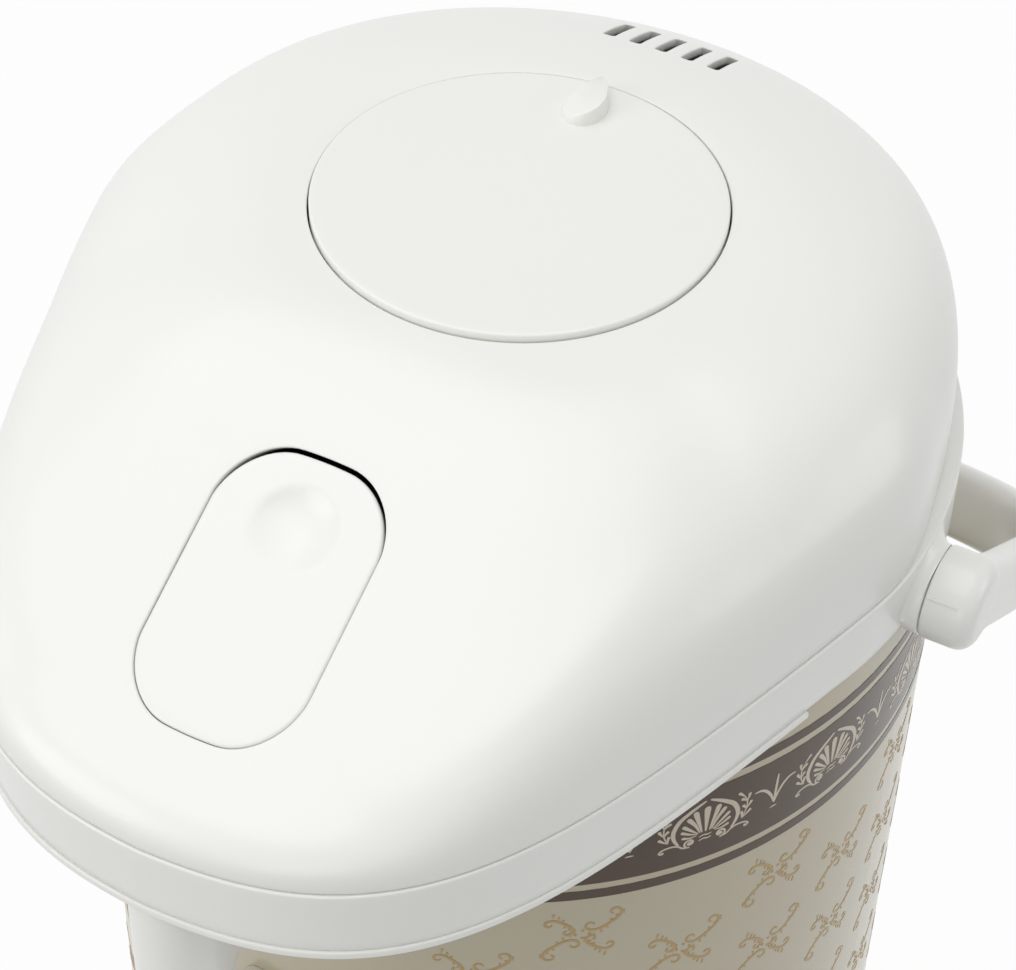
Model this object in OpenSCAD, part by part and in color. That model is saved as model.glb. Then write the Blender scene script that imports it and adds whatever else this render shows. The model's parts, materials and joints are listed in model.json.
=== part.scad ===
// Electric thermo pot: a pump-top hot water pot with a hinged lid, a press-down air pump,
// a carrying bail and a heated inner container. Millimetres, +Z up.
// Origin: on the body's axis, in the plane that the rubber feet stand on.
// The nose and spout point to -Y, the lid hinge is at +Y.

/* [Body] */
// Radius of the printed steel body
body_r = 100; // [96:0.5:104]
// Thickness of the body sheet
sheet_t = 0.8; // [0.6:0.1:1.2]
// Height of the band's lowest line above the floor, which sets the height of the whole pot
line_h = 187; // [180:1:240]
// Height of the base ring
base_h = 24; // [22:1:30]
// Thickness of the bottom cover
cover_t = 2.8; // [2:0.2:4]
// Height of the rubber feet
foot_h = 3; // [2:0.5:5]
// Radius of a rubber foot
foot_r = 9; // [6:0.5:12]
// How far the middles of the feet stand inside the body's wall
foot_inset = 22; // [20:1:28]
// How far the middles of the base screws stand inside the body's wall
base_screw_inset = 13; // [12:0.5:14]

/* [Shoulder] */
// How far the shoulder stands out over the body at the back
shoulder_over = 1; // [0.9:0.1:3]
// Distance from the body's axis to the front of the nose
nose_reach = 153.4; // [145:0.5:162]
// How flat the nose front is: 1 is flat, lower is rounder
nose_flat = 0.72; // [0.6:0.01:0.9]
// Sharpness of the nose corners
nose_corner = 5.2; // [4:0.1:9]
// Angle from the nose at which the tapered sides meet the round back
taper_start = 75.5; // [68:0.5:84]
// How far the sides stand out over the body in front of the handle pivots
side_swell = 2; // [1.6:0.1:5]
// How far the lower edge of the shoulder's sides stands inside that
wall_draft = 1; // [0.4:0.1:1.4]
// How far the pivot bosses stand out over the body
boss_proud = 5.6; // [5:0.2:7]
// Height of the shoulder wall
shoulder_h = 18; // [16:1:24]
// Height of the shoulder's lower edge above the band's lowest line
shoulder_above_line = 42; // [40:1:50]
// Wall thickness of the plastic shells
shell_t = 2.5; // [2:0.1:3]
// Thickness of the cover under the nose
nose_cover_t = 2; // [1.6:0.1:3]
// How far the spout housing hangs below the nose
spout_drop = 39; // [34:1:60]

/* [Lid] */
// Height of the lid's crown above the seam
crown_h = 52.4; // [48:0.5:60]
// Forward slope of the crown, as a rise per millimetre
crown_tilt = 0.0155; // [0:0.001:0.03]
// Steepest slope of the lid towards the nose
nose_slope = 0.52; // [0.4:0.01:0.6]
// How far the lid's rim stands inside the shoulder at the nose
step_front = 0.5; // [0.4:0.1:1.5]
// How much further inside it stands at the back
step_rear = 3; // [1:0.1:3.4]
// Wall thickness of the lid cover
lid_t = 2.4; // [2:0.1:3]
// Gap between the lid's rim and the shoulder
seam_gap = 0.3; // [0.2:0.05:0.6]
// Number of steam slots
vent_count = 5; // [3:1:7]
// Pitch of the steam slots
vent_pitch = 6.6; // [5:0.1:8]
// Width of a steam slot
vent_w = 2.9; // [2:0.1:4]
// Length of a steam slot
vent_l = 12; // [8:0.5:14]
// Distance from the axis to the middle of the slots
vent_y = 74.7; // [70:0.5:77]

/* [Pump] */
// Radius of the press disc
disc_r = 44.8; // [38:0.2:46]
// Gap between the disc and the lid
disc_gap = 1.1; // [0.8:0.1:2]
// How far the disc stands above the crown
disc_proud = 0.9; // [0:0.1:2]
// Travel of the disc when it is pressed
pump_stroke = 20; // [10:1:20]
// Thickness of the disc
disc_t = 3; // [2:0.2:4]
// Radius of the bellows over its folds
bellows_r = 35; // [28:0.5:36]
// Number of folds in the bellows
bellows_folds = 7; // [4:1:9]

/* [Release lever] */
// Width of the lever
lever_w = 38; // [30:0.5:42]
// Length of the lever along the slope
lever_l = 60; // [50:0.5:62]
// Corner radius of the lever
lever_corner = 13; // [8:0.5:15]
// Thickness of the lever
lever_t = 2.6; // [2:0.1:3]
// Gap around the lever
lever_gap = 0.5; // [0.3:0.05:1]
// Gap behind the lever, where its rear edge sinks
lever_rear_gap = 2; // [1.6:0.1:3]
// Distance from the axis to the lever's rear edge
lever_rear_y = 80.4; // [78:0.5:84]

/* [Handle] */
// Distance from the pivot to the middle of the crossbar
bail_reach = 132; // [128:1:140]
// Angle that the stored handle hangs below the level
bail_droop = 33; // [20:1:36]
// Thickness of the bail, seen from above
bail_t = 9; // [7:0.5:9.5]
// Width of the bail
bail_w = 17; // [12:0.5:19]
// Radius of the pivot knuckles
knuckle_r = 11.8; // [10:0.1:13]
// Radius of the pivot pins
bail_pin_r = 4; // [3:0.1:5]
// Height of the pivots above the shoulder's lower edge
pivot_rise = 4; // [2:0.5:7]

/* [Container] */
// Outer radius of the container
pot_r = 80; // [74:0.5:84]
// Wall of the container
pot_t = 0.8; // [0.6:0.1:1.2]
// Height of the container's floor above the feet
pot_floor = 64; // [60:1:70]
// How far the inside of the neck stands inside the container's wall
neck_step = 5.2; // [5:0.2:9]
// Outer radius of the level gauge's tube
tube_r = 3.5; // [3:0.1:3.6]
// Wall of the level gauge's tube
tube_t = 1; // [0.8:0.1:1.2]

/* [Clearances] */
// Clearance between pieces that are fixed together
fixed_gap = 0.2; // [0.1:0.05:0.3]
// Clearance between pieces that slide or swing past each other
slide_gap = 0.4; // [0.3:0.05:0.6]
// Radial clearance of a pin that turns in its bore
pin_gap = 0.06; // [0.02:0.01:0.1]

/* [Hidden] */
$fn = 96;
white = [0.94, 0.945, 0.93];
warm_white = [0.9, 0.89, 0.85];
cream = [0.78, 0.74, 0.64];
steel = [0.75, 0.76, 0.77];
dark = [0.16, 0.16, 0.17];
rubber_black = [0.1, 0.1, 0.1];
silicone = [0.85, 0.85, 0.82];
board_green = [0.1, 0.35, 0.2];
brass_colour = [0.8, 0.65, 0.3];

// Levels
shoulder_z = line_h + shoulder_above_line;
seam_z = shoulder_z + shoulder_h;
crown_z = seam_z + crown_h;
deck_t = 2.5;
deck_z = seam_z - deck_t;
rim_z = seam_z + seam_gap;
cover_z = foot_h;
cover_top = cover_z + cover_t;
disc_top = crown_z + disc_proud;

// Outline of the nose and shoulder, seen from above. Angle 0 is the nose, 180 the back.
plan_steps = 80;
swell_side = 80;
swell_front = 30.6;
swell_rear = 12;
function folded(a) = a > 180 ? 360 - a : a;
function smooth(x) = let (s = min(1, max(0, x))) s * s * (3 - 2 * s);
function taper_line(t) = body_r / cos(max(0, taper_start - t));
function nose_line(t) = nose_reach / max(0.05, cos(nose_flat * t));
function swell(t) = t < swell_side
    ? side_swell * exp(-pow((t - swell_side) / swell_front, 2))
    : shoulder_over + (side_swell - shoulder_over) * exp(-pow((t - swell_side) / swell_rear, 2));
function plan_r(a) = let (t = folded(a), n = nose_corner)
    pow(pow(taper_line(t), -n) + pow(nose_line(t), -n), -1 / n) + swell(t);
step_from = 80;
step_over = 20;
function rim_r(a) = plan_r(a) - step_front - step_rear * smooth((folded(a) - step_from) / step_over);
function polar(a, r) = [r * sin(a), -r * cos(a)];
function plan_angles() = [for (i = [0 : plan_steps - 1]) i * 360 / plan_steps];
function plan_outline(inset) = [for (a = plan_angles()) polar(a, plan_r(a) - inset)];
function rim_outline(inset) = [for (a = plan_angles()) polar(a, rim_r(a) - inset)];

// Height of the lid over that outline. Each list holds the value at the sides, the nose and the back.
cross_flat = 0.1;
cross_span = 60;
fall_start = [54.3, 45, 41];
fall_radius = [65.5, 69, 84];
edge_width = [27.6, 20, 31];
edge_power = [3.5, 1.6, 7];
function by_side(a, v) =
    v[0] + (v[1] - v[0]) * pow(max(0, cos(a)), 2) + (v[2] - v[0]) * pow(max(0, -cos(a)), 2);
function fall(s, start, radius) = let (d = max(0, s - start), knee = nose_slope * radius)
    d < knee ? d * d / (2 * radius) : nose_slope * (d - knee / 2);
function crown_at(a, r) = let (
        k = cross_flat + (1 - cross_flat) * smooth(folded(a) / cross_span),
        s = r * sqrt(pow(cos(a), 2) + pow(k * sin(a), 2)))
    crown_z - crown_tilt * r * cos(a) - fall(s, by_side(a, fall_start), by_side(a, fall_radius));
function dome_z(a, r, rim, drop) = let (
        q = min(1, max(0, 1 - (rim - r) / by_side(a, edge_width))),
        n = by_side(a, edge_power))
    rim_z + (crown_at(a, r) - drop - rim_z) * pow(1 - pow(q, n), 1 / n);

// Pump
opening_r = disc_r + disc_gap;
dome_inner_r = opening_r - 4;
disc_bottom = disc_top - disc_t;
base_plate_z = rim_z + 0.3;
base_plate_t = 2;
base_top = base_plate_z + base_plate_t;
carrier_top = disc_bottom - 3.4;
carrier_t = 2;
carrier_z = carrier_top - carrier_t;
carrier_skirt = 20;
sleeve_t = 2;
sleeve_top = disc_top - 5.6;
knob_turn = 3.5;
knob_l = 15;

// Release lever and latch
slope_a = atan(nose_slope);
lever_top_z = crown_at(0, lever_rear_y);
lever_pivot_drop = 9;
lever_pin_r = 1.5;
lever_mid = lever_l / 2;
lever_pivot_y = -lever_rear_y - lever_mid * cos(slope_a) + lever_pivot_drop * sin(slope_a);
lever_pivot_z = lever_top_z - lever_mid * sin(slope_a) - lever_pivot_drop * cos(slope_a);
latch_z = base_top + slide_gap;
latch_t = 2.5;
arm_tip_z = latch_z + 3;
arm_tip_r = 2;
boss_x = 12;
boss_w = 3;
post_w = 3;
post_x = boss_x + boss_w + slide_gap;
latch_leg_y = 27.4 - nose_reach;
latch_reach = 2;
latch_half = 9;
rail_w = 2;
rail_l = 14;
rail_y = latch_leg_y + 8;
slot_rear_y = latch_leg_y + 2;
slot_front_y = latch_leg_y - 9;
slot_half = 10;

// Hinge
hinge_y = body_r + shoulder_over;
hinge_z = seam_z + 3;
hinge_pin_r = 1.75;
knuckle_hinge_r = 5;
hinge_arm_w = 28;
hinge_w = 52;
hinge_notch_w = hinge_w + 2;
bracket_t = 2;
bracket_screw_x = 18;
bracket_screw_y = hinge_y - 11;
arm_t = 2.4;
arm_z = hinge_z + 1;
arm_l = 30;
arm_screw_x = 7;
arm_screw_y = hinge_y - 26;
arm_screw_z = arm_z + arm_t;

// Handle
pivot_z = shoulder_z + pivot_rise;
boss_in = body_r - 6.5;
boss_out = body_r + boss_proud;
boss_r = 10.4;
boss_half = 7;
pin_cover = 2.4;
bail_in = boss_out + slide_gap;
bail_mid = bail_in + 1 + bail_t / 2;
knuckle_out = bail_mid + bail_t / 2 + 0.6;
bail_corner = 55;

// Container and heater
neck_r = pot_r - neck_step;
flange_w = 5;
ear_pad_r = 3.5;
ear_screw_out = 8;
port_y = 14 - pot_r;
tube_y = -(pot_r + body_r - sheet_t) / 2;
tube_bore = tube_r - tube_t;
nipple_r = tube_bore - 0.05;
nipple_bore = 1.5;
nipple_l = 8;
hose_r = tube_r + 1.2;
hose_z = pot_floor - 14;
tube_foot = hose_z + 7;
plate_r = pot_r - 20;
plate_t = 6;
plate_z = pot_floor - plate_t;
stud_r = 3;
element_ring_r = plate_r - 15;
element_r = 3.2;
clamp_r = plate_r - 10;
clamp_t = 1.5;
clamp_z = plate_z - 2 * element_r - clamp_t;
thermostat_x = 22;
thermostat_r = 8;
fuse_x = -22;
flange_z = deck_z - 4.5;
seal_t = 2;

// Plug under the lid
plug_z = flange_z - 8;
plug_floor = 2;
steam_r = 4;
steam_y = neck_r - 13.8;
valve_hole_r = 3;

// Spout
spout_r = 9.4;
spout_y = 1.5 + spout_r - nose_reach;
spout_top = shoulder_z - nose_cover_t;
spout_z = spout_top - spout_drop;
pipe_z = shoulder_z + 5;
pipe_r = 4.6;
nozzle_r = 5.5;
nozzle_bore = 4;
ball_y = -body_r - 12;
ball_r = 2.6;
ball_chamber_r = 3.9;
ball_chamber_h = 9;
chamber_z = pipe_z - 3.6;
tube_top = pipe_z - 6;
nose_screw_x = 34;
nose_screw_y = 37.4 - nose_reach;
nose_cover_end = 44;

// Front panel
panel_half = 15;
panel_top = line_h - 48;
panel_z = base_h + 2;
panel_t = 2.2;
panel_corner = 5;
window_half = 4.5;
window_z = panel_z + 46;
window_top = panel_top - 10;
button_z = panel_z + 10;
button_r = 5;
lamp_x = 10.3;
lamp_r = 1.9;
window_corner = 1;
button_back = -body_r + 0.4 + 1.5;
panel_board_y = 10 - body_r;
panel_board_half = 13;
panel_board_h = 16.5;
board_t = 1.6;
board_post_w = 16;

// Power inlet
inlet_z = base_h + 14;
inlet_half = 20;
inlet_half_h = 9;
inlet_back = body_r - 26;
inlet_proud = 1.2;
inlet_flange = 3.7;
pin_spacing = 18;
contact_r = 2;

// Base
foot_ring_r = body_r - foot_inset;
base_screw_r = body_r - base_screw_inset;
screw_turn = 22;
base_out = body_r + 1.8;
base_in = body_r - 6;
ledge_in = body_r - 18;
sheet_seat = base_h - 10;
screw_r = 1.5;
screw_head_r = 3;
screw_head_h = 1.6;

// Control board in the base
board_half = 42;
board_l = 60;
board_y = -2;
board_z = cover_top + 10;
board_post_r = 3;
board_post_x = board_half - 7;

// Guide sleeve
sleeve_flange_r = opening_r + sleeve_t + 6;
sleeve_screw_r = sleeve_flange_r - 3.2;

// Rings of points joined into one closed surface. Each ring has the same number of points.
// With wrap, the last ring joins the first, as in a tyre; without it, both ends are capped.
module skin(rings, wrap = false) {
    n = len(rings[0]);
    m = len(rings);
    strips = wrap ? m - 1 : m - 2;
    sides = [for (j = [0 : strips], i = [0 : n - 1]) let (
            a = j * n + i, b = j * n + (i + 1) % n,
            c = ((j + 1) % m) * n + (i + 1) % n, d = ((j + 1) % m) * n + i)
        each [[a, d, c], [a, c, b]]];
    floor_face = [[for (i = [0 : n - 1]) i]];
    top_face = [[for (i = [n - 1 : -1 : 0]) (m - 1) * n + i]];
    polyhedron([for (r = rings) each r], wrap ? sides : concat(sides, floor_face, top_face));
}

module tube(r_out, r_in, h) {
    difference() {
        cylinder(r = r_out, h = h);
        translate([0, 0, -1]) cylinder(r = r_in, h = h + 2);
    }
}

// A cylinder along X, centred, and one that runs along -Y from y = 0
module rod_x(r, w) rotate([0, 90, 0]) cylinder(r = r, h = w, center = true);
module rod_front(r, l) rotate([90, 0, 0]) cylinder(r = r, h = l);

module rounded_plate(w, h, t, r) {
    translate([-w / 2 + r, -h / 2, 0]) cube([w - 2 * r, h, t]);
    translate([-w / 2, -h / 2 + r, 0]) cube([w, h - 2 * r, t]);
    for (x = [-1, 1], y = [-1, 1])
        translate([x * (w / 2 - r), y * (h / 2 - r), 0]) cylinder(r = r, h = t, $fn = 48);
}

module screw(shaft_r, shaft_l, head_r, head_h) {
    translate([0, 0, -head_h]) cylinder(r = head_r, h = head_h, $fn = 32);
    cylinder(r = shaft_r, h = shaft_l, $fn = 32);
}

// A round-wire compression spring standing on z = 0
module coil(r, wire, length, turns) {
    steps = 14;
    sides = 6;
    lift = (length - 2 * wire) / (turns * steps);
    rings = [for (k = [0 : turns * steps]) let (a = k * 360 / steps)
        [for (i = [0 : sides - 1]) let (
                f = -i * 360 / sides, s = r + wire * cos(f))
            [s * cos(a), s * sin(a), wire + k * lift + wire * sin(f)]]];
    skin(rings);
}

module ear_places() {
    for (a = [45 : 90 : 315]) rotate(a) translate([neck_r + ear_screw_out, 0, 0]) children();
}

module feet_places() {
    for (a = [45 : 90 : 315]) rotate(a) translate([foot_ring_r, 0, 0]) children();
}

module base_screw_places() {
    for (a = [0 : 90 : 270]) rotate(a + screw_turn) translate([base_screw_r, 0, 0]) children();
}

module base_ring() {
    color(white) difference() {
        rotate_extrude() polygon([
            [base_in, cover_z], [base_out - 1, cover_z], [base_out, cover_z + 1.5],
            [base_out, base_h - 1], [base_out - 0.7, base_h],
            [body_r + fixed_gap, base_h], [body_r + fixed_gap, sheet_seat],
            [ledge_in, sheet_seat], [ledge_in, cover_top], [base_in, cover_top]]);
        base_screw_places() translate([0, 0, cover_top - 1]) cylinder(r = screw_r, h = 9, $fn = 32);
    }
    color(white) translate([-board_post_w / 2, panel_board_y + board_t, sheet_seat - 0.5])
        cube([board_post_w, 3, panel_z + panel_board_h - sheet_seat]);
}

module bottom_cover() {
    color(white) difference() {
        union() {
            translate([0, 0, cover_z]) cylinder(r = base_in - fixed_gap, h = cover_t);
            for (x = [-board_post_x, board_post_x], y = [board_y + 7, board_y + board_l - 8])
                translate([x, y, cover_top]) cylinder(r = board_post_r, h = board_z - cover_top, $fn = 32);
            translate([-15, inlet_back, cover_top]) cube([30, 5.8, inlet_z - inlet_half_h - cover_top]);
        }
        base_screw_places() {
            translate([0, 0, cover_z - 1]) cylinder(r = screw_r + 0.3, h = cover_t + 2, $fn = 32);
            translate([0, 0, cover_z - 1]) cylinder(r = screw_head_r + 0.5, h = screw_head_h + 1.2, $fn = 32);
        }
        for (x = [-24 : 8 : 24])
            translate([x - 1.5, -30, cover_z - 1]) cube([3, 40, cover_t + 2]);
    }
}

module rubber_feet() {
    color(rubber_black) feet_places() rotate_extrude() polygon([
        [0, 0], [foot_r - 1, 0], [foot_r, 1], [foot_r, foot_h], [0, foot_h]]);
}

module base_screws() {
    color(steel) base_screw_places() translate([0, 0, cover_z + screw_head_h + 0.2])
        screw(screw_r, 9, screw_head_r, screw_head_h);
}

module outer_body() {
    sheet_z = sheet_seat + fixed_gap;
    sheet_top = shoulder_z + 5;
    color(cream) difference() {
        translate([0, 0, sheet_z]) tube(body_r, body_r - sheet_t, sheet_top - sheet_z);
        translate([-inlet_half - 4, body_r - 20, inlet_z - inlet_half_h - 3])
            cube([2 * inlet_half + 8, 30, 2 * inlet_half_h + 6]);
        translate([-window_half, -body_r - 5, window_z])
            cube([2 * window_half, 20, window_top - window_z]);
        translate([-lamp_x - 3, -body_r - 5, button_z - 8]) cube([2 * lamp_x + 6, 20, 16]);
        translate([-pipe_r - 2, -body_r - 5, pipe_z - pipe_r - 1.5]) cube([2 * pipe_r + 4, 20, 30]);
        for (x = [-1, 1]) translate([x * body_r, 0, shoulder_z + 9])
            cube([20, 2 * boss_half + 0.8, 21], center = true);
    }
}

module inner_container() {
    corner = 8;
    taper_z = flange_z - 16;
    function arc(r, a0, a1) = [for (i = [0 : 6]) let (a = a0 + (a1 - a0) * i / 6)
        [pot_r - corner + r * cos(a), pot_floor + corner + r * sin(a)]];
    color(steel) difference() {
        union() {
            ear_places() translate([0, 0, flange_z - pot_t]) {
                cylinder(r = ear_pad_r, h = pot_t, $fn = 32);
                translate([-ear_pad_r - 2, -ear_pad_r, 0]) cube([ear_pad_r + 2, 2 * ear_pad_r, pot_t]);
            }
            rotate_extrude() polygon(concat(
                [[0, pot_floor + pot_t], [0, pot_floor]], arc(corner, -90, 0),
                [[pot_r, taper_z - 8], [neck_r + pot_t, taper_z + 2],
                 [neck_r + pot_t, flange_z - pot_t], [neck_r + flange_w, flange_z - pot_t],
                 [neck_r + flange_w, flange_z], [neck_r, flange_z], [neck_r, taper_z + 2],
                 [pot_r - pot_t, taper_z - 8]],
                arc(corner - pot_t, 0, -90)));
            translate([0, port_y, pot_floor - 7]) cylinder(r = tube_r, h = 7.4, $fn = 48);
        }
        translate([0, port_y, pot_floor - 8]) cylinder(r = tube_bore, h = 12, $fn = 48);
        ear_places() translate([0, 0, flange_z - 5]) cylinder(r = screw_r + 0.2, h = 10, $fn = 32);
    }
}

module container_screws() {
    color(steel) ear_places() translate([0, 0, flange_z - pot_t]) screw(screw_r, 5, 2.8, 1.2);
}

module container_seal() {
    color(silicone) translate([0, 0, flange_z]) tube(neck_r + flange_w - 0.8, neck_r + slide_gap, seal_t);
}

module heater_plate() {
    color(steel) {
        translate([0, 0, plate_z]) cylinder(r = plate_r, h = plate_t);
        translate([0, 0, clamp_z - 6]) cylinder(r = stud_r, h = plate_z - clamp_z + 6, $fn = 48);
    }
}

module heater_element() {
    color(dark) translate([0, 0, plate_z - element_r]) {
        rotate(-80) rotate_extrude(angle = 340)
            translate([element_ring_r, 0]) circle(r = element_r, $fn = 32);
        for (a = [-80, -100]) rotate(a)
            translate([element_ring_r, 0, -13]) cylinder(r = 1.6, h = 13, $fn = 24);
    }
}

module heater_clamp() {
    color(steel) difference() {
        translate([0, 0, clamp_z]) cylinder(r = clamp_r, h = clamp_t);
        translate([0, 0, clamp_z - 1]) cylinder(r = stud_r + fixed_gap, h = 4, $fn = 48);
        translate([thermostat_x, 0, clamp_z - 1]) cylinder(r = thermostat_r + 1, h = 4, $fn = 48);
        translate([fuse_x - 7, -8, clamp_z - 1]) cube([14, 16, 4]);
        translate([-14, -clamp_r - 2, clamp_z - 1]) cube([28, 14, 4]);
    }
}

module heater_nut() {
    color(steel) translate([0, 0, clamp_z - 4]) difference() {
        cylinder(r = 5.5, h = 4, $fn = 6);
        translate([0, 0, -1]) cylinder(r = stud_r + pin_gap, h = 6, $fn = 48);
    }
}

module thermostat() {
    color(dark) translate([thermostat_x, 0, plate_z - 8]) {
        cylinder(r = thermostat_r, h = 8, $fn = 64);
        for (x = [-4, 4]) translate([x - 0.4, -2, -6]) cube([0.8, 4, 6.2]);
    }
}

module thermal_fuse() {
    color(warm_white) translate([fuse_x, 0, plate_z - 2.5]) {
        rotate([90, 0, 0]) cylinder(r = 2.5, h = 10, center = true, $fn = 32);
        for (s = [-1, 1]) translate([0, s * 5, -8]) cylinder(r = 0.6, h = 8.2, $fn = 24);
    }
}

module control_board() {
    top = board_z + board_t;
    color(board_green) translate([-board_half, board_y, board_z]) cube([2 * board_half, board_l, board_t]);
    color(dark) translate([-30, board_y + 32, top]) cube([20, 16, 14]);
    color(warm_white) translate([10, board_y + 36, top]) cube([24, 10, 8]);
    color(dark) for (x = [-6, 6]) translate([x, board_y + 14, top]) cylinder(r = 5, h = 14, $fn = 32);
}

module power_inlet() {
    front = body_r + inlet_proud;
    color(dark) difference() {
        union() {
            translate([-inlet_half, inlet_back, inlet_z - inlet_half_h])
                cube([2 * inlet_half, front - inlet_back, 2 * inlet_half_h]);
            translate([-inlet_half - inlet_flange, body_r - 7, inlet_z - inlet_half_h - 2.7])
                cube([2 * (inlet_half + inlet_flange), 7 + inlet_proud, 2 * inlet_half_h + 5.4]);
        }
        translate([-inlet_half + 4, front - 11, inlet_z - inlet_half_h + 2])
            cube([2 * inlet_half - 8, 12, 2 * inlet_half_h - 4]);
        for (x = [-1, 1]) translate([x * pin_spacing / 2, front + 1, inlet_z]) rod_front(contact_r, 30);
    }
}

module inlet_pins() {
    color(brass_colour) for (x = [-1, 1])
        translate([x * pin_spacing / 2, body_r - 1.5, inlet_z]) rod_front(contact_r, 21);
}

module outlet_hose() {
    color(silicone) difference() {
        union() {
            translate([0, port_y, hose_z]) cylinder(r = hose_r, h = pot_floor - hose_z - 0.4, $fn = 48);
            translate([0, port_y, hose_z]) sphere(r = hose_r, $fn = 48);
            translate([0, port_y, hose_z]) rod_front(hose_r, port_y - tube_y + tube_r - 0.6, $fn = 48);
            translate([0, tube_y, hose_z]) cylinder(r = tube_r, h = tube_foot - hose_z, $fn = 48);
            translate([0, tube_y, hose_z]) cylinder(r = nipple_r, h = tube_foot + nipple_l - hose_z, $fn = 48);
        }
        translate([0, port_y, hose_z]) cylinder(r = tube_r, h = 20, $fn = 48);
        translate([0, port_y, hose_z]) sphere(r = tube_r, $fn = 48);
        translate([0, port_y, hose_z]) rod_front(tube_r, port_y - tube_y, $fn = 48);
        translate([0, tube_y, hose_z]) cylinder(r = nipple_bore, h = 20, $fn = 48);
    }
}

module gauge_tube() {
    color([0.8, 0.9, 0.95, 0.6]) translate([0, tube_y, tube_foot])
        tube(tube_r, tube_bore, tube_top - tube_foot, $fn = 48);
}

module upper_pipe() {
    elbow_z = shoulder_z - 3;
    elbow_bore = 3;
    pipe_back = tube_y + tube_r + 0.6;
    bore_back = tube_y + nipple_bore + 0.6;
    color(warm_white) difference() {
        union() {
            translate([0, tube_y, tube_top - nipple_l]) cylinder(r = nipple_r, h = pipe_z - tube_top + nipple_l, $fn = 48);
            translate([0, tube_y, tube_top]) cylinder(r = tube_r, h = pipe_z - tube_top, $fn = 48);
            translate([0, pipe_back, pipe_z]) rod_front(pipe_r, pipe_back - spout_y, $fn = 48);
            translate([0, ball_y, chamber_z - 1]) cylinder(r = ball_chamber_r + 1.4, h = ball_chamber_h + 1.4, $fn = 48);
            translate([0, spout_y, elbow_z]) cylinder(r = nozzle_bore - 0.05, h = pipe_z - elbow_z, $fn = 48);
            translate([0, spout_y, pipe_z]) sphere(r = pipe_r, $fn = 48);
        }
        translate([0, tube_y, tube_top - nipple_l - 1])
            cylinder(r = nipple_bore, h = pipe_z - tube_top + nipple_l + 1, $fn = 48);
        translate([0, bore_back, pipe_z]) rod_front(tube_bore, bore_back - spout_y, $fn = 48);
        translate([0, ball_y, chamber_z]) cylinder(r = ball_chamber_r, h = ball_chamber_h - 1, $fn = 48);
        translate([0, spout_y, elbow_z - 1]) cylinder(r = elbow_bore, h = pipe_z - elbow_z + 3.6, $fn = 48);
    }
}

module valve_ball() {
    color(steel) translate([0, ball_y, chamber_z + ball_r]) sphere(r = ball_r, $fn = 48);
}

module spout_nozzle() {
    nozzle_z = spout_z + 4;
    color(warm_white) difference() {
        union() {
            translate([0, spout_y, nozzle_z])
                cylinder(r = nozzle_r, h = shoulder_z - nozzle_z, $fn = 64);
            translate([0, spout_y, shoulder_z]) cylinder(r = 8, h = 1.4, $fn = 64);
        }
        translate([0, spout_y, nozzle_z - 1])
            cylinder(r = nozzle_bore, h = shoulder_z - nozzle_z + 4, $fn = 64);
        translate([0, spout_y, shoulder_z]) cylinder(r = pipe_r + 0.3, h = 3, $fn = 64);
        translate([-pipe_r - 0.3, spout_y, shoulder_z]) cube([2 * pipe_r + 0.6, 10, 3]);
    }
}

// The housing's outline, shrunk by inset: upright in front, with its lower end rising to the back
module housing_form(inset, top) {
    r = spout_r - inset;
    rear_shift = 9;
    rear_rise = 8;
    hull() {
        translate([0, spout_y, spout_z + spout_r]) sphere(r = r, $fn = 32);
        translate([0, spout_y + rear_shift, spout_z + spout_r + rear_rise]) sphere(r = r, $fn = 32);
        for (y = [0, rear_shift]) translate([0, spout_y + y, top - 1]) cylinder(r = r, h = 1, $fn = 32);
    }
}

module spout_housing() {
    wall = 1.8;
    rib = nozzle_r + 0.1;
    color(white) {
        difference() {
            housing_form(0, spout_top);
            housing_form(wall, spout_top + 3);
            translate([0, spout_y, spout_z - 1]) cylinder(r = nozzle_r + 0.6, h = 12, $fn = 48);
        }
        translate([0, spout_y, 0]) for (a = [0, 180, 270]) rotate(a)
            translate([rib, -0.6, spout_top - 14]) cube([spout_r - wall - rib + 0.4, 1.2, 14]);
    }
}

// The crescent of the nose outside the round body
module nose_crescent(inset, gap) {
    difference() {
        polygon(plan_outline(inset));
        circle(r = body_r + gap);
        translate([-2 * body_r, -nose_cover_end]) square([4 * body_r, 3 * body_r]);
    }
}

module nose_cover() {
    color(white) difference() {
        translate([0, 0, shoulder_z - nose_cover_t])
            linear_extrude(nose_cover_t) nose_crescent(0.3, 0.3);
        translate([0, spout_y, shoulder_z - nose_cover_t - 1]) cylinder(r = nozzle_r, h = 5, $fn = 64);
        for (x = [-1, 1]) translate([x * nose_screw_x, nose_screw_y, shoulder_z - nose_cover_t - 1])
            cylinder(r = screw_r + 0.2, h = 5, $fn = 32);
    }
}

module nose_screws() {
    color(steel) for (x = [-1, 1])
        translate([x * nose_screw_x, nose_screw_y, shoulder_z - nose_cover_t]) screw(screw_r, 12, 3, 1.5);
}

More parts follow.
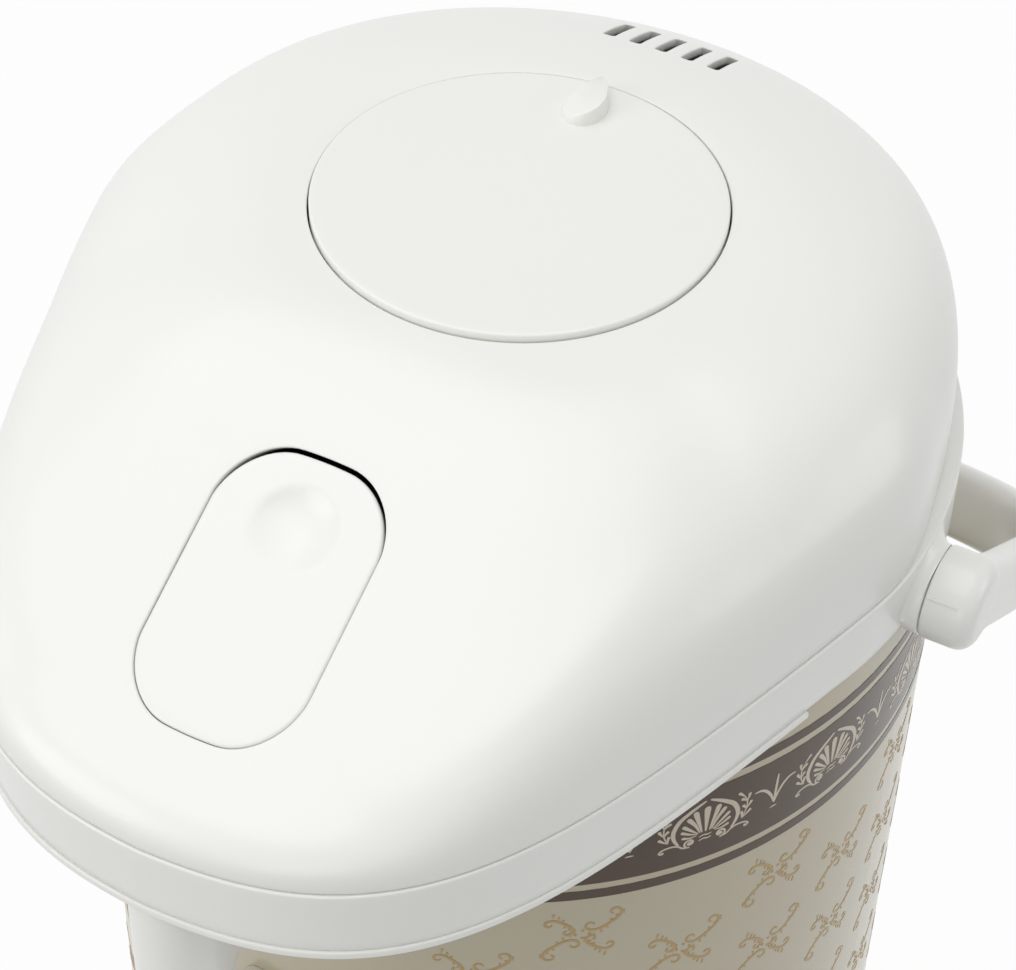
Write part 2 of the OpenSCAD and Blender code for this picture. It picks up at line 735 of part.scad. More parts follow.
module shoulder() {
    top_bevel = 0.9;
    wall_top = seam_z - 2.2;
    mouth_r = neck_r + slide_gap;
    collar_r = neck_r + flange_w - 0.2;
    rings = [
        [for (a = plan_angles()) [each polar(a, max(plan_r(a) - wall_draft, body_r + shoulder_over)), shoulder_z]],
        [for (a = plan_angles()) [each polar(a, plan_r(a)), wall_top]],
        [for (a = plan_angles()) [each polar(a, plan_r(a) - top_bevel * 0.4), seam_z - top_bevel]],
        [for (a = plan_angles()) [each polar(a, plan_r(a) - top_bevel), seam_z]]];
    color(white) difference() {
        union() {
            difference() {
                skin(rings);
                translate([0, 0, shoulder_z - 1])
                    linear_extrude(deck_z - shoulder_z + 1) polygon(plan_outline(shell_t));
                translate([0, 0, shoulder_z - 1]) cylinder(r = body_r + fixed_gap, h = 6.2);
            }
            translate([0, 0, flange_z + seal_t]) tube(collar_r, mouth_r, deck_z - flange_z - seal_t + 1);
            ear_places() translate([0, 0, flange_z]) cylinder(r = ear_pad_r, h = deck_z - flange_z + 1, $fn = 32);
            for (x = [-1, 1]) {
                translate([x * nose_screw_x, nose_screw_y, shoulder_z])
                    cylinder(r = 4, h = deck_z - shoulder_z + 1, $fn = 32);
                translate([x * (body_r + 0.6 + boss_out) / 2, 0, pivot_z])
                    rod_x(boss_r, boss_out - body_r - 0.6);
                translate([x > 0 ? boss_in : -body_r - 0.7, -boss_half, shoulder_z - 1])
                    cube([body_r + 0.7 - boss_in, 2 * boss_half, deck_z - shoulder_z + 1.5]);
            }
        }
        translate([0, 0, deck_z - 1]) cylinder(r = mouth_r, h = deck_t + 2);
        ear_places() translate([0, 0, flange_z - 1]) cylinder(r = screw_r, h = 5.4, $fn = 32);
        translate([-slot_half, slot_front_y, deck_z - 1]) cube([2 * slot_half, slot_rear_y - slot_front_y, deck_t + 2]);
        for (x = [-1, 1]) {
            translate([x * nose_screw_x, nose_screw_y, shoulder_z - 1]) cylinder(r = screw_r, h = 13, $fn = 32);
            translate([x * body_r, 0, pivot_z]) rod_x(bail_pin_r, 30);
        }
        for (x = [-1, 1]) translate([x * bracket_screw_x, bracket_screw_y, deck_z - 3])
            cylinder(r = screw_r, h = 8, $fn = 32);
        translate([0, hinge_y, hinge_z]) rod_x(knuckle_hinge_r + slide_gap, hinge_notch_w);
    }
}

module panel_shape(r_in, r_out, half, z0, z1, corner) {
    intersection() {
        translate([0, 0, z0]) tube(r_out, r_in, z1 - z0, $fn = 128);
        translate([0, -body_r + 10, (z0 + z1) / 2]) rotate([90, 0, 0])
            rounded_plate(2 * half, z1 - z0, 30, corner);
    }
}

module front_panel() {
    color(steel) difference() {
        panel_shape(body_r + 0.1, body_r + panel_t, panel_half, panel_z, panel_top, panel_corner);
        translate([-window_half, -body_r - 10, window_z])
            cube([2 * window_half, 20, window_top - window_z]);
        translate([0, -body_r + 5, button_z]) rod_front(button_r + slide_gap, 20, $fn = 64);
        for (x = [-1, 1]) translate([x * lamp_x, -body_r + 5, button_z]) rod_front(lamp_r, 20, $fn = 32);
    }
}

module gauge_window() {
    edge = fixed_gap / 2;
    inner_r = (body_r + tube_r - tube_y) / 2;
    color([0.85, 0.92, 0.95, 0.5]) panel_shape(inner_r, body_r + panel_t - 0.5,
        window_half - edge, window_z + edge, window_top - edge, window_corner);
}

module lamp_lenses() {
    color([0.9, 0.4, 0.2]) for (x = [-1, 1])
        translate([x * lamp_x, -body_r + 4, button_z]) rod_front(lamp_r - 0.1, 6.2, $fn = 32);
}

module panel_board() {
    color(board_green) translate([-panel_board_half, panel_board_y, panel_z + 1])
        cube([2 * panel_board_half, board_t, panel_board_h]);
    color(dark) translate([-4, panel_board_y - 3, button_z - 4]) cube([8, 3, 8]);
    color(warm_white) for (x = [-1, 1])
        translate([x * lamp_x, panel_board_y, button_z]) rod_front(1.7, 5.8, $fn = 24);
}

module reboil_button() {
    color(warm_white) {
        translate([0, button_back, button_z]) rod_front(button_r + 1.6, 1.5, $fn = 64);
        translate([0, button_back - 1, button_z]) rod_front(button_r, 5, $fn = 64);
        translate([0, button_back + 3, button_z]) rod_front(1.5, 3.5, $fn = 32);
    }
}

module button_spring() {
    seat = panel_board_y - 3;
    color(steel) translate([0, seat, button_z]) rotate([90, 0, 0])
        coil(3, 0.35, seat - button_back - 0.05, 4);
}

module hinge_bracket() {
    ear_w = hinge_w / 2 - hinge_arm_w / 2 - slide_gap;
    color(steel) difference() {
        union() {
            translate([-hinge_w / 2, hinge_y - 17, seam_z]) cube([hinge_w, 11.5, bracket_t]);
            for (x = [-1, 1]) translate([x * (hinge_arm_w / 2 + slide_gap + hinge_w / 2) / 2, 0, 0]) {
                translate([0, hinge_y, hinge_z]) rod_x(knuckle_hinge_r, ear_w, $fn = 64);
                translate([-ear_w / 2, hinge_y - 6, seam_z]) cube([ear_w, 6, bracket_t + 2]);
            }
        }
        translate([0, hinge_y, hinge_z]) rod_x(hinge_pin_r, hinge_w + 2, $fn = 48);
        for (x = [-1, 1]) translate([x * bracket_screw_x, bracket_screw_y, seam_z - 1])
            cylinder(r = screw_r, h = 4, $fn = 32);
    }
}

module bracket_screws() {
    color(steel) for (x = [-1, 1]) translate([x * bracket_screw_x, bracket_screw_y, seam_z + bracket_t])
        mirror([0, 0, 1]) screw(screw_r, 7, 2.8, 1.2);
}

module hinge_pin() {
    color(steel) translate([0, hinge_y, hinge_z]) rod_x(hinge_pin_r, hinge_w, $fn = 48);
}

module hinge_arm() {
    color(steel) difference() {
        union() {
            translate([0, hinge_y, hinge_z]) rod_x(knuckle_hinge_r, hinge_arm_w, $fn = 64);
            translate([-hinge_arm_w / 2, hinge_y - arm_l, arm_z]) cube([hinge_arm_w, arm_l, arm_t]);
            translate([-hinge_arm_w / 2, hinge_y - arm_l, base_top]) cube([hinge_arm_w, 8, arm_z - base_top + 1]);
        }
        translate([0, hinge_y, hinge_z]) rod_x(hinge_pin_r + pin_gap, hinge_arm_w + 2, $fn = 48);
        for (x = [-1, 1]) translate([x * arm_screw_x, arm_screw_y, base_top - 1])
            cylinder(r = screw_r, h = 12, $fn = 32);
    }
}

module arm_screws() {
    color(steel) for (x = [-1, 1]) translate([x * arm_screw_x, arm_screw_y, arm_screw_z]) mirror([0, 0, 1])
        screw(screw_r, arm_screw_z - base_plate_z, 2.8, 1.2);
}

module handle_pins() {
    head_h = 1.5;
    color(warm_white) for (x = [-1, 1]) translate([0, 0, pivot_z]) {
        translate([x * (boss_in + knuckle_out - pin_cover) / 2, 0, 0])
            rod_x(bail_pin_r, knuckle_out - pin_cover - boss_in);
        translate([x * (boss_in - head_h / 2), 0, 0]) rod_x(bail_pin_r + 2, head_h);
    }
}

module bail_profile() {
    soft = 3;
    square([bail_t - 2 * soft, bail_w], center = true);
    square([bail_t, bail_w - 2 * soft], center = true);
    for (x = [-1, 1], y = [-1, 1])
        translate([x * (bail_t / 2 - soft), y * (bail_w / 2 - soft)]) circle(r = soft, $fn = 32);
}

module handle() {
    straight = bail_reach - bail_corner;
    half_bar = bail_mid - bail_corner;
    edge = 2.4;
    color(white) translate([0, 0, pivot_z]) rotate([-bail_droop, 0, 0]) difference() {
        union() {
            for (x = [-1, 1]) {
                translate([x * bail_mid, 0, 0]) rotate([-90, 0, 0])
                    linear_extrude(straight) bail_profile();
                mirror([x > 0 ? 0 : 1, 0, 0]) {
                    translate([bail_mid - bail_corner, straight, 0])
                        rotate_extrude(angle = 90) translate([bail_corner, 0]) bail_profile();
                    translate([bail_in, 0, 0]) rotate([0, 90, 0]) rotate_extrude() polygon([
                        [0, 0], [knuckle_r - 1, 0], [knuckle_r, 1],
                        [knuckle_r, knuckle_out - bail_in - edge],
                        [knuckle_r - edge * 0.3, knuckle_out - bail_in - edge * 0.3],
                        [knuckle_r - edge, knuckle_out - bail_in], [0, knuckle_out - bail_in]]);
                }
            }
            translate([-half_bar, bail_reach, 0]) rotate([90, 0, 90])
                linear_extrude(2 * half_bar) bail_profile();
        }
        rod_x(bail_pin_r + pin_gap, 2 * (knuckle_out - pin_cover + slide_gap));
    }
}

module lid_cover() {
    outer_rings = 13;
    inner_rings = 8;
    function dome_ring(u, inset) = [for (a = plan_angles()) let (
            rim = rim_r(a) - inset, r = rim - (rim - dome_inner_r) * u * u)
        [each polar(a, r), dome_z(a, r, rim, inset)]];
    color(white) difference() {
        skin(concat(
            [for (j = [0 : outer_rings]) dome_ring(j / outer_rings, 0)],
            [for (j = [inner_rings : -1 : 0]) dome_ring(j / inner_rings, lid_t)]), true);
        cylinder(r = opening_r, h = crown_z + 50);
        for (i = [0 : vent_count - 1]) translate([(i - (vent_count - 1) / 2) * vent_pitch, vent_y, seam_z + 20])
            rounded_plate(vent_w, vent_l, crown_h, 0.9);
        lever_window();
        translate([-hinge_notch_w / 2, hinge_y - 14, rim_z - 1]) cube([hinge_notch_w, 30, hinge_z - rim_z + 8]);
    }
}

// Moves its children onto the lever's slope: x across, y up the slope, z out of the surface
module on_lever() {
    translate([0, -lever_rear_y, lever_top_z]) rotate([slope_a, 0, 0]) children();
}

module lever_window() {
    on_lever() translate([0, -lever_l / 2 + (lever_rear_gap - lever_gap) / 2, -12])
        rounded_plate(lever_w + 2 * lever_gap, lever_l + lever_gap + lever_rear_gap, 30, lever_corner + lever_gap);
}

module release_lever() {
    dimple_r = 26;
    dimple_y = -15;
    dimple_deep = 1.5;
    dimple_edge = acos(1 - (dimple_deep + 0.2) / dimple_r);
    color(white) difference() {
        union() {
            on_lever() translate([0, -lever_l / 2, -lever_t])
                rounded_plate(lever_w, lever_l, lever_t, lever_corner);
            translate([0, lever_pivot_y, lever_pivot_z]) {
                for (x = [-1, 1]) translate([x * (boss_x + boss_w / 2), 0, 0]) {
                    rod_x(3.6, boss_w, $fn = 48);
                    rotate([slope_a, 0, 0]) translate([-boss_w / 2, -3, 0])
                        cube([boss_w, 6, lever_pivot_drop - lever_t + 0.3]);
                }
                rotate([slope_a, 0, 0]) translate([-2, -2.6, 0]) cube([4, 5.2, lever_pivot_drop - lever_t + 0.3]);
                rod_x(3.2, 4, $fn = 48);
                translate([-2, -arm_tip_r + 0.4, arm_tip_z - lever_pivot_z])
                    cube([4, 2 * arm_tip_r - 0.8, lever_pivot_z - arm_tip_z]);
                translate([0, 0, arm_tip_z - lever_pivot_z]) rod_x(arm_tip_r, 4, $fn = 48);
            }
        }
        translate([0, lever_pivot_y, lever_pivot_z]) rod_x(lever_pin_r + pin_gap, lever_w, $fn = 48);
        on_lever() translate([0, dimple_y, 0]) rotate_extrude() polygon(concat([[0, 1]],
            [for (i = [0 : 5]) let (a = i * dimple_edge / 5)
                [dimple_r * sin(a), dimple_r * (1 - cos(a)) - dimple_deep]],
            [[dimple_r * sin(dimple_edge), 1]]));
    }
}

module lever_pin() {
    color(steel) translate([0, lever_pivot_y, lever_pivot_z])
        rod_x(lever_pin_r, 2 * (post_x + post_w), $fn = 48);
}

module latch_slide() {
    rear = lever_pivot_y + arm_tip_r + slide_gap + 6;
    wall_h = 5;
    color(warm_white) difference() {
        union() {
            translate([-latch_half, latch_leg_y - 5, latch_z])
                cube([2 * latch_half, rear - latch_leg_y + 5, latch_t]);
            translate([-5, lever_pivot_y - 8, latch_z]) cube([10, rear - lever_pivot_y + 8, wall_h]);
            translate([-7, latch_leg_y - 5, deck_z - 4]) cube([14, 3, latch_z - deck_z + 5]);
            translate([-7, latch_leg_y - 5, deck_z - 4]) cube([14, 5 + slot_rear_y - latch_leg_y + latch_reach, 2.8]);
        }
        translate([-2.4, lever_pivot_y - arm_tip_r - 0.35, latch_z - 1])
            cube([4.8, 2 * arm_tip_r + 0.7, wall_h + 2]);
    }
}

module latch_spring() {
    seat_y = latch_leg_y - 5;
    color(steel) translate([0, seat_y, latch_z + 2]) rotate([90, 0, 0]) coil(1.9, 0.35, 5.6, 4);
}

module lid_base() {
    plug_r = neck_r - 3;
    seat_r = neck_r - 2.6;
    spring_y = latch_leg_y - 5 - 5.7;
    side_inset = 1.5;
    nose_inset = 3;
    nose_side = 65;
    nose_blend = 30;
    color(white) difference() {
        union() {
            translate([0, 0, base_plate_z]) linear_extrude(base_plate_t) polygon(
                [for (a = plan_angles()) let (inset = nose_inset * smooth((nose_side - folded(a)) / nose_blend))
                    polar(a, rim_r(a) - lid_t - side_inset - inset)]);
            rotate_extrude() polygon([
                [0, plug_z + plug_floor], [0, plug_z], [plug_r - 5, plug_z], [plug_r, plug_z + 5],
                [seat_r, plug_z + 6], [seat_r, flange_z + 3], [seat_r, base_plate_z + 1],
                [seat_r - 3, base_plate_z + 1], [seat_r - 3, plug_z + 7], [plug_r - 6, plug_z + plug_floor]]);
            for (x = [-1, 1]) translate([x * (post_x + post_w / 2), lever_pivot_y, 0]) {
                translate([0, 0, lever_pivot_z]) rod_x(4, post_w, $fn = 48);
                translate([-post_w / 2, -4, base_top - 0.5]) cube([post_w, 8, lever_pivot_z - base_top + 0.5]);
            }
            translate([-5, spring_y - 2, base_top - 0.5]) cube([10, 2, 4.4]);
            translate([0, steam_y, plug_z]) cylinder(r = steam_r + 2, h = base_top - plug_z, $fn = 48);
            for (x = [-1, 1]) translate([x * (latch_half + slide_gap + rail_w / 2), rail_y, base_top - 0.5]) {
                translate([-rail_w / 2, 0, 0]) cube([rail_w, rail_l, latch_t + 2 * slide_gap + 2]);
                translate([-rail_w / 2 - (x > 0 ? 1.5 : 0), 0, latch_t + 2 * slide_gap + 0.5])
                    cube([rail_w + 1.5, rail_l, 1.5]);
            }
        }
        translate([0, steam_y, plug_z - 1]) cylinder(r = steam_r, h = 30, $fn = 48);
        translate([0, 0, plug_z - 1]) cylinder(r = valve_hole_r, h = 4, $fn = 32);
        translate([0, 0, base_plate_z - 1]) cylinder(r = bellows_r - 8, h = 5);
        translate([0, lever_pivot_y, lever_pivot_z]) rod_x(lever_pin_r, 60, $fn = 48);
        translate([-8, latch_leg_y - 9, base_plate_z - 1]) cube([16, 8 + slot_rear_y - latch_leg_y + latch_reach, 5]);
        translate([-hinge_notch_w / 2 - 1, hinge_y - 19, base_plate_z - 1]) cube([hinge_notch_w + 2, 30, 5]);
        sleeve_screw_places() cylinder(r = screw_r, h = 40, center = true, $fn = 32);
        for (x = [-1, 1]) translate([x * arm_screw_x, arm_screw_y, base_plate_z - 1])
            cylinder(r = screw_r, h = 5, $fn = 32);
    }
}

module inner_lid_plate() {
    plate_top = plug_z;
    color(steel) difference() {
        translate([0, 0, plate_top - 0.8]) cylinder(r = neck_r - 9, h = 0.8);
        translate([0, steam_y, plate_top - 2]) cylinder(r = steam_r, h = 4, $fn = 48);
        translate([0, 0, plate_top - 2]) cylinder(r = valve_hole_r, h = 4, $fn = 32);
    }
}

module lid_gasket() {
    color(silicone) translate([0, 0, flange_z - 1]) tube(neck_r - 0.4, neck_r - 2.6, 3.6);
}

module sleeve_screw_places() {
    for (a = [30, 150, 270]) rotate(a) translate([sleeve_screw_r, 0, base_top]) children();
}

module guide_sleeve() {
    sleeve_in = opening_r - 0.5;
    color(warm_white) difference() {
        union() {
            translate([0, 0, base_top]) tube(sleeve_in + sleeve_t, sleeve_in, sleeve_top - base_top);
            translate([0, 0, base_top]) tube(sleeve_flange_r, sleeve_in, 2);
        }
        sleeve_screw_places() cylinder(r = screw_r, h = 10, center = true, $fn = 32);
    }
}

module sleeve_screws() {
    color(steel) sleeve_screw_places() translate([0, 0, 2]) mirror([0, 0, 1]) screw(screw_r, 5, 2.8, 1.2);
}

// Folded rubber tube, open at both ends
module bellows() {
    fold_h = (carrier_z - base_top - 2) / bellows_folds;
    wall = 0.9;
    depth = 5;
    function zig(shift) = [for (i = [0 : 2 * bellows_folds])
        [bellows_r - (i % 2 == 0 ? depth : 0) - shift, base_top + 1 + i * fold_h / 2]];
    function reversed(v) = [for (i = [len(v) - 1 : -1 : 0]) v[i]];
    color(dark) rotate_extrude() polygon(concat(
        [[bellows_r - depth - wall, base_top], [bellows_r - depth, base_top]], zig(0),
        [[bellows_r - depth, carrier_z], [bellows_r - depth - wall, carrier_z]], reversed(zig(wall))));
}

module pump_spring() {
    color(steel) translate([0, 0, plug_z + plug_floor])
        coil(bellows_r - 12, 0.8, carrier_z - plug_z - plug_floor, 6);
}

module air_valve() {
    valve_z = plug_z + plug_floor;
    color(rubber_black) translate([0, 0, valve_z]) {
        cylinder(r = 9, h = 1.2);
        translate([0, 0, -5]) cylinder(r = 2.6, h = 5.2, $fn = 32);
    }
}

module steam_duct() {
    duct_top = crown_z - 18;
    half = vent_count * vent_pitch / 2 + 1.5;
    y0 = opening_r + 8.5;
    color(warm_white) difference() {
        translate([-half, y0, base_top]) cube([2 * half, vent_y + 5 - y0, duct_top - base_top]);
        translate([-half + 1.5, y0 + 1.5, base_top - 1]) cube([2 * half - 3, vent_y + 2 - y0, 60]);
        translate([-hinge_arm_w / 2 - 1, hinge_y - 31, base_top - 1]) cube([hinge_arm_w + 2, 40, hinge_z - base_top + 6]);
    }
}

module press_carrier() {
    skirt_out = opening_r - 1.3;
    hub_r = 8;
    color(warm_white) difference() {
        union() {
            translate([0, 0, carrier_z]) cylinder(r = skirt_out, h = carrier_t);
            translate([0, 0, carrier_top - carrier_skirt]) tube(skirt_out, skirt_out - 2, carrier_skirt - 1);
            translate([0, 0, carrier_z - 6]) cylinder(r = hub_r, h = 6 + carrier_t);
        }
        translate([0, 0, carrier_z - 7]) cylinder(r = 5 + pin_gap, h = 12, $fn = 64);
    }
}

module press_disc() {
    edge = 0.7;
    knob_h = 4.6;
    hub_foot = carrier_z - 6 - 0.8;
    color(white) {
        rotate_extrude() polygon([
            [0, disc_bottom], [disc_r - 2.5, disc_bottom], [disc_r - 2.5, disc_bottom - 3],
            [disc_r, disc_bottom - 3], [disc_r, disc_top - edge],
            [disc_r - edge * 0.3, disc_top - edge * 0.3], [disc_r - edge, disc_top], [0, disc_top]]);
        translate([0, 0, hub_foot]) cylinder(r = 5, h = disc_bottom - hub_foot + 0.5, $fn = 64);
        translate([0, 0, hub_foot - 1.2]) cylinder(r = 6.2, h = 1.2, $fn = 64);
        rotate(knob_turn) translate([0, disc_r - knob_l - 0.8, disc_top - 0.2]) hull() {
            translate([0, 4.4, 0]) cylinder(r = 4.4, h = 0.4, $fn = 32);
            translate([0, knob_l - 0.8, 0]) cylinder(r = 0.9, h = 0.4, $fn = 32);
            translate([0, 5, knob_h - 1.4]) sphere(r = 3.2, $fn = 32);
            translate([0, knob_l - 1, knob_h]) sphere(r = 0.9, $fn = 32);
        }
    }
}

base_ring();
bottom_cover();
rubber_feet();
base_screws();
outer_body();
inner_container();
container_screws();
container_seal();
heater_plate();
heater_element();
heater_clamp();
heater_nut();
thermostat();
thermal_fuse();
control_board();
power_inlet();
inlet_pins();
outlet_hose();
gauge_tube();
upper_pipe();
spout_nozzle();
spout_housing();
nose_cover();
nose_screws();
shoulder();
front_panel();
gauge_window();
lamp_lenses();
panel_board();
button_spring();
hinge_bracket();
bracket_screws();
hinge_pin();
handle_pins();
lid_cover();
lid_base();
inner_lid_plate();
lid_gasket();
hinge_arm();
arm_screws();
guide_sleeve();
sleeve_screws();
bellows();
pump_spring();
air_valve();
steam_duct();
lever_pin();
latch_spring();
press_carrier();
press_disc();
release_lever();
latch_slide();
handle();
reboil_button();
valve_ball();
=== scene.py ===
import json
from math import acos, asin, atan, atan2, cos, degrees, exp, hypot, pi, radians, sin, sqrt, tan
import bmesh
import bpy
from mathutils import Matrix, Vector
from mathutils.geometry import delaunay_2d_cdt


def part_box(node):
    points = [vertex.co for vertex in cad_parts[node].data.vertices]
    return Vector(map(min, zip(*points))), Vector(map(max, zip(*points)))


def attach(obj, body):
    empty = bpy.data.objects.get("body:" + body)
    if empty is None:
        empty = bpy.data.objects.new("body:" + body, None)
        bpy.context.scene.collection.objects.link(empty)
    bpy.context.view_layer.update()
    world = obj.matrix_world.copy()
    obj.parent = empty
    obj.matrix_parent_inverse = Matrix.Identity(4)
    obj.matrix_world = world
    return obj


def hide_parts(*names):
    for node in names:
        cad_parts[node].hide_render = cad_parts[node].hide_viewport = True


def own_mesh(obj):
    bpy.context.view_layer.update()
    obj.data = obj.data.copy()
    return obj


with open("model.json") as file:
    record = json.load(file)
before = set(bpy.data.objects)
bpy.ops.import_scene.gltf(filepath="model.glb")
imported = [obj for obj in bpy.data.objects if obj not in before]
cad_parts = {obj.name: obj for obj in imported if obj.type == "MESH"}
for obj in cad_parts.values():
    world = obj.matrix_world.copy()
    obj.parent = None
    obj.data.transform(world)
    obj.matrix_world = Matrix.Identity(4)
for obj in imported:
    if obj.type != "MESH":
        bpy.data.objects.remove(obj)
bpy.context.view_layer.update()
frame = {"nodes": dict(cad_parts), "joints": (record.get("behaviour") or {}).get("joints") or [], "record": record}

mm = 0.001   # the shapes below are worked out in millimetres


def boxOf(node):
    low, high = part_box(node)
    return low / mm, high / mm


# materials

class Value:
    # a socket that Python's operators can work with: each one adds a Math node
    def __init__(self, shader, socket):
        self.shader, self.socket = shader, socket

    def maths(self, operation, other):
        return self.shader.add("Math", dict(operation=operation), {0: self, 1: other})[0]

    def __add__(self, other):
        return self.maths("ADD", other)

    def __mul__(self, other):
        return self.maths("MULTIPLY", other)

    __radd__ = __add__
    __rmul__ = __mul__


class Shader:
    def __init__(self, name):
        self.material = bpy.data.materials.new(name)
        self.material.use_nodes = True
        self.tree = self.material.node_tree
        self.principled = self.tree.nodes["Principled BSDF"]
        self.output = self.tree.nodes["Material Output"]
        self.place = self.add("TexCoord")[3]   # object coordinates

    def add(self, kind, settings=None, inputs=None):
        node = self.tree.nodes.new("ShaderNode" + kind)
        for key, value in (settings or {}).items():
            setattr(node, key, value)
        self.feed(node, inputs or {})
        return [Value(self, socket) for socket in node.outputs]

    def feed(self, node, inputs):
        for key, value in inputs.items():
            if isinstance(value, Value):
                self.tree.links.new(value.socket, node.inputs[key])
            else:
                slot = node.inputs[key]
                many = hasattr(slot.default_value, "__len__")
                slot.default_value = (*value, 1.0)[:len(slot.default_value)] if many else value

    def noise(self, scale, detail=2.0, roughness=0.5, place=None):
        return self.add("TexNoise", None, {
            "Vector": place or self.place, "Scale": scale, "Detail": detail, "Roughness": roughness})[0]

    def mix(self, factor, first, second):
        return self.add("Mix", dict(data_type="RGBA"), {0: factor, 6: first, 7: second})[2]

    def stretched(self, scale):
        return self.add("VectorMath", dict(operation="MULTIPLY"), {0: self.place, 1: scale})[0]

    def bump(self, height, strength, distance):
        return self.add("Bump", None, {"Height": height, "Strength": strength, "Distance": distance})[0]

    def surface(self, **inputs):
        names = {"colour": "Base Color", "roughness": "Roughness", "metallic": "Metallic",
                 "normal": "Normal", "coat": "Coat Weight", "coatRoughness": "Coat Roughness", "ior": "IOR",
                 "transmission": "Transmission Weight", "subsurface": "Subsurface Weight",
                 "subsurfaceScale": "Subsurface Scale", "specular": "Specular IOR Level"}
        self.feed(self.principled, {names[key]: value for key, value in inputs.items()})
        return self.material


def moulded(name, colour, roughness, grain, coat=0.0):
    # flow marks in the gloss, faint colour drift and a fine skin
    shader = Shader(name)
    drift = shader.noise(14.0, 3.0)
    skin = shader.noise(1500.0, 2.0) * 0.6 + shader.noise(260.0, 2.0) * 0.4
    darker = [c * 0.98 for c in colour]
    return shader.surface(
        colour=shader.mix(drift, darker, colour),
        roughness=drift * 0.08 + (roughness - 0.04), coat=coat, coatRoughness=0.08,
        normal=shader.bump(skin, grain, 0.00005))


def brushedMetal(name, colour, roughness, along=(1.0, 1.0, 40.0)):
    # fine lines, across the axis whose number in along is large
    shader = Shader(name)
    streaks = shader.noise(90.0, 4.0, 0.6, shader.stretched(along))
    cloud = shader.noise(30.0, 2.0)
    darker = [c * 0.82 for c in colour]
    return shader.surface(
        colour=shader.mix(streaks * 0.6 + cloud * 0.4, darker, colour), metallic=1.0,
        roughness=streaks * 0.16 + (roughness - 0.08), normal=shader.bump(streaks, 0.25, 0.00004))


def castMetal(name, colour):
    shader = Shader(name)
    grains = shader.noise(420.0, 5.0, 0.65)
    return shader.surface(
        colour=shader.mix(grains, [c * 0.7 for c in colour], colour), metallic=1.0,
        roughness=grains * 0.2 + 0.38, normal=shader.bump(grains, 0.4, 0.0002))


def elastic(name, colour, roughness, subsurface=0.0):
    # rubber and silicone: matt skin with a dusty bloom
    shader = Shader(name)
    bloom = shader.noise(60.0, 5.0, 0.7)
    skin = shader.noise(900.0, 3.0)
    lighter = [min(1.0, c * 1.25 + 0.015) for c in colour]
    return shader.surface(
        colour=shader.mix(bloom, colour, lighter), roughness=bloom * 0.12 + roughness,
        subsurface=subsurface, subsurfaceScale=0.004, normal=shader.bump(skin, 0.35, 0.00012))


def enamel(name, colour):
    # printed steel: glossy varnish, with the orange peel and slight mottle of stoved enamel
    shader = Shader(name)
    mottle = shader.noise(35.0, 4.0, 0.6)
    peel = shader.noise(420.0, 2.0)
    return shader.surface(
        colour=shader.mix(mottle, [c * 0.965 for c in colour], colour), roughness=mottle * 0.06 + 0.22,
        specular=0.5, coat=0.3, coatRoughness=0.12, normal=shader.bump(peel, 0.12, 0.00008))


def circuitBoard(name, colour):
    # glass-fibre board: woven cloth under green lacquer, with lighter tracks
    shader = Shader(name)
    weave = shader.add("TexWave", dict(bands_direction="X"), {"Vector": shader.place, "Scale": 500.0})[1]
    cells = shader.add("TexBrick", dict(offset=0.5), {
        "Vector": shader.place, "Scale": 160.0, "Mortar Size": 0.06})[1]
    return shader.surface(
        colour=shader.mix(cells, colour, [c * 1.9 + 0.03 for c in colour]), roughness=weave * 0.1 + 0.28,
        normal=shader.bump(cells, 0.5, 0.0001))


def clearPlastic(name, colour):
    shader = Shader(name)
    waves = shader.noise(40.0, 2.0)
    return shader.surface(
        colour=colour, roughness=waves * 0.04 + 0.04, transmission=1.0, ior=1.49,
        normal=shader.bump(waves, 0.1, 0.0002))


def tintedLens(name, colour):
    shader = Shader(name)
    ribs = shader.noise(300.0, 2.0)
    return shader.surface(
        colour=shader.mix(ribs, colour, [min(1.0, c * 1.3) for c in colour]), roughness=0.12, coat=0.6,
        coatRoughness=0.04, subsurface=0.3, subsurfaceScale=0.002, normal=shader.bump(ribs, 0.1, 0.0001))


def printInk(name, colour, wear):
    # printed ink under varnish, a little thinner in places
    shader = Shader(name)
    thin = shader.noise(500.0, 4.0, 0.7)
    return shader.surface(
        colour=shader.mix(thin * wear, colour, [min(1.0, c * 1.3 + 0.02) for c in colour]),
        roughness=thin * 0.08 + 0.2, specular=0.3, coat=0.12, coatRoughness=0.12,
        normal=shader.bump(thin, 0.05, 0.00005))


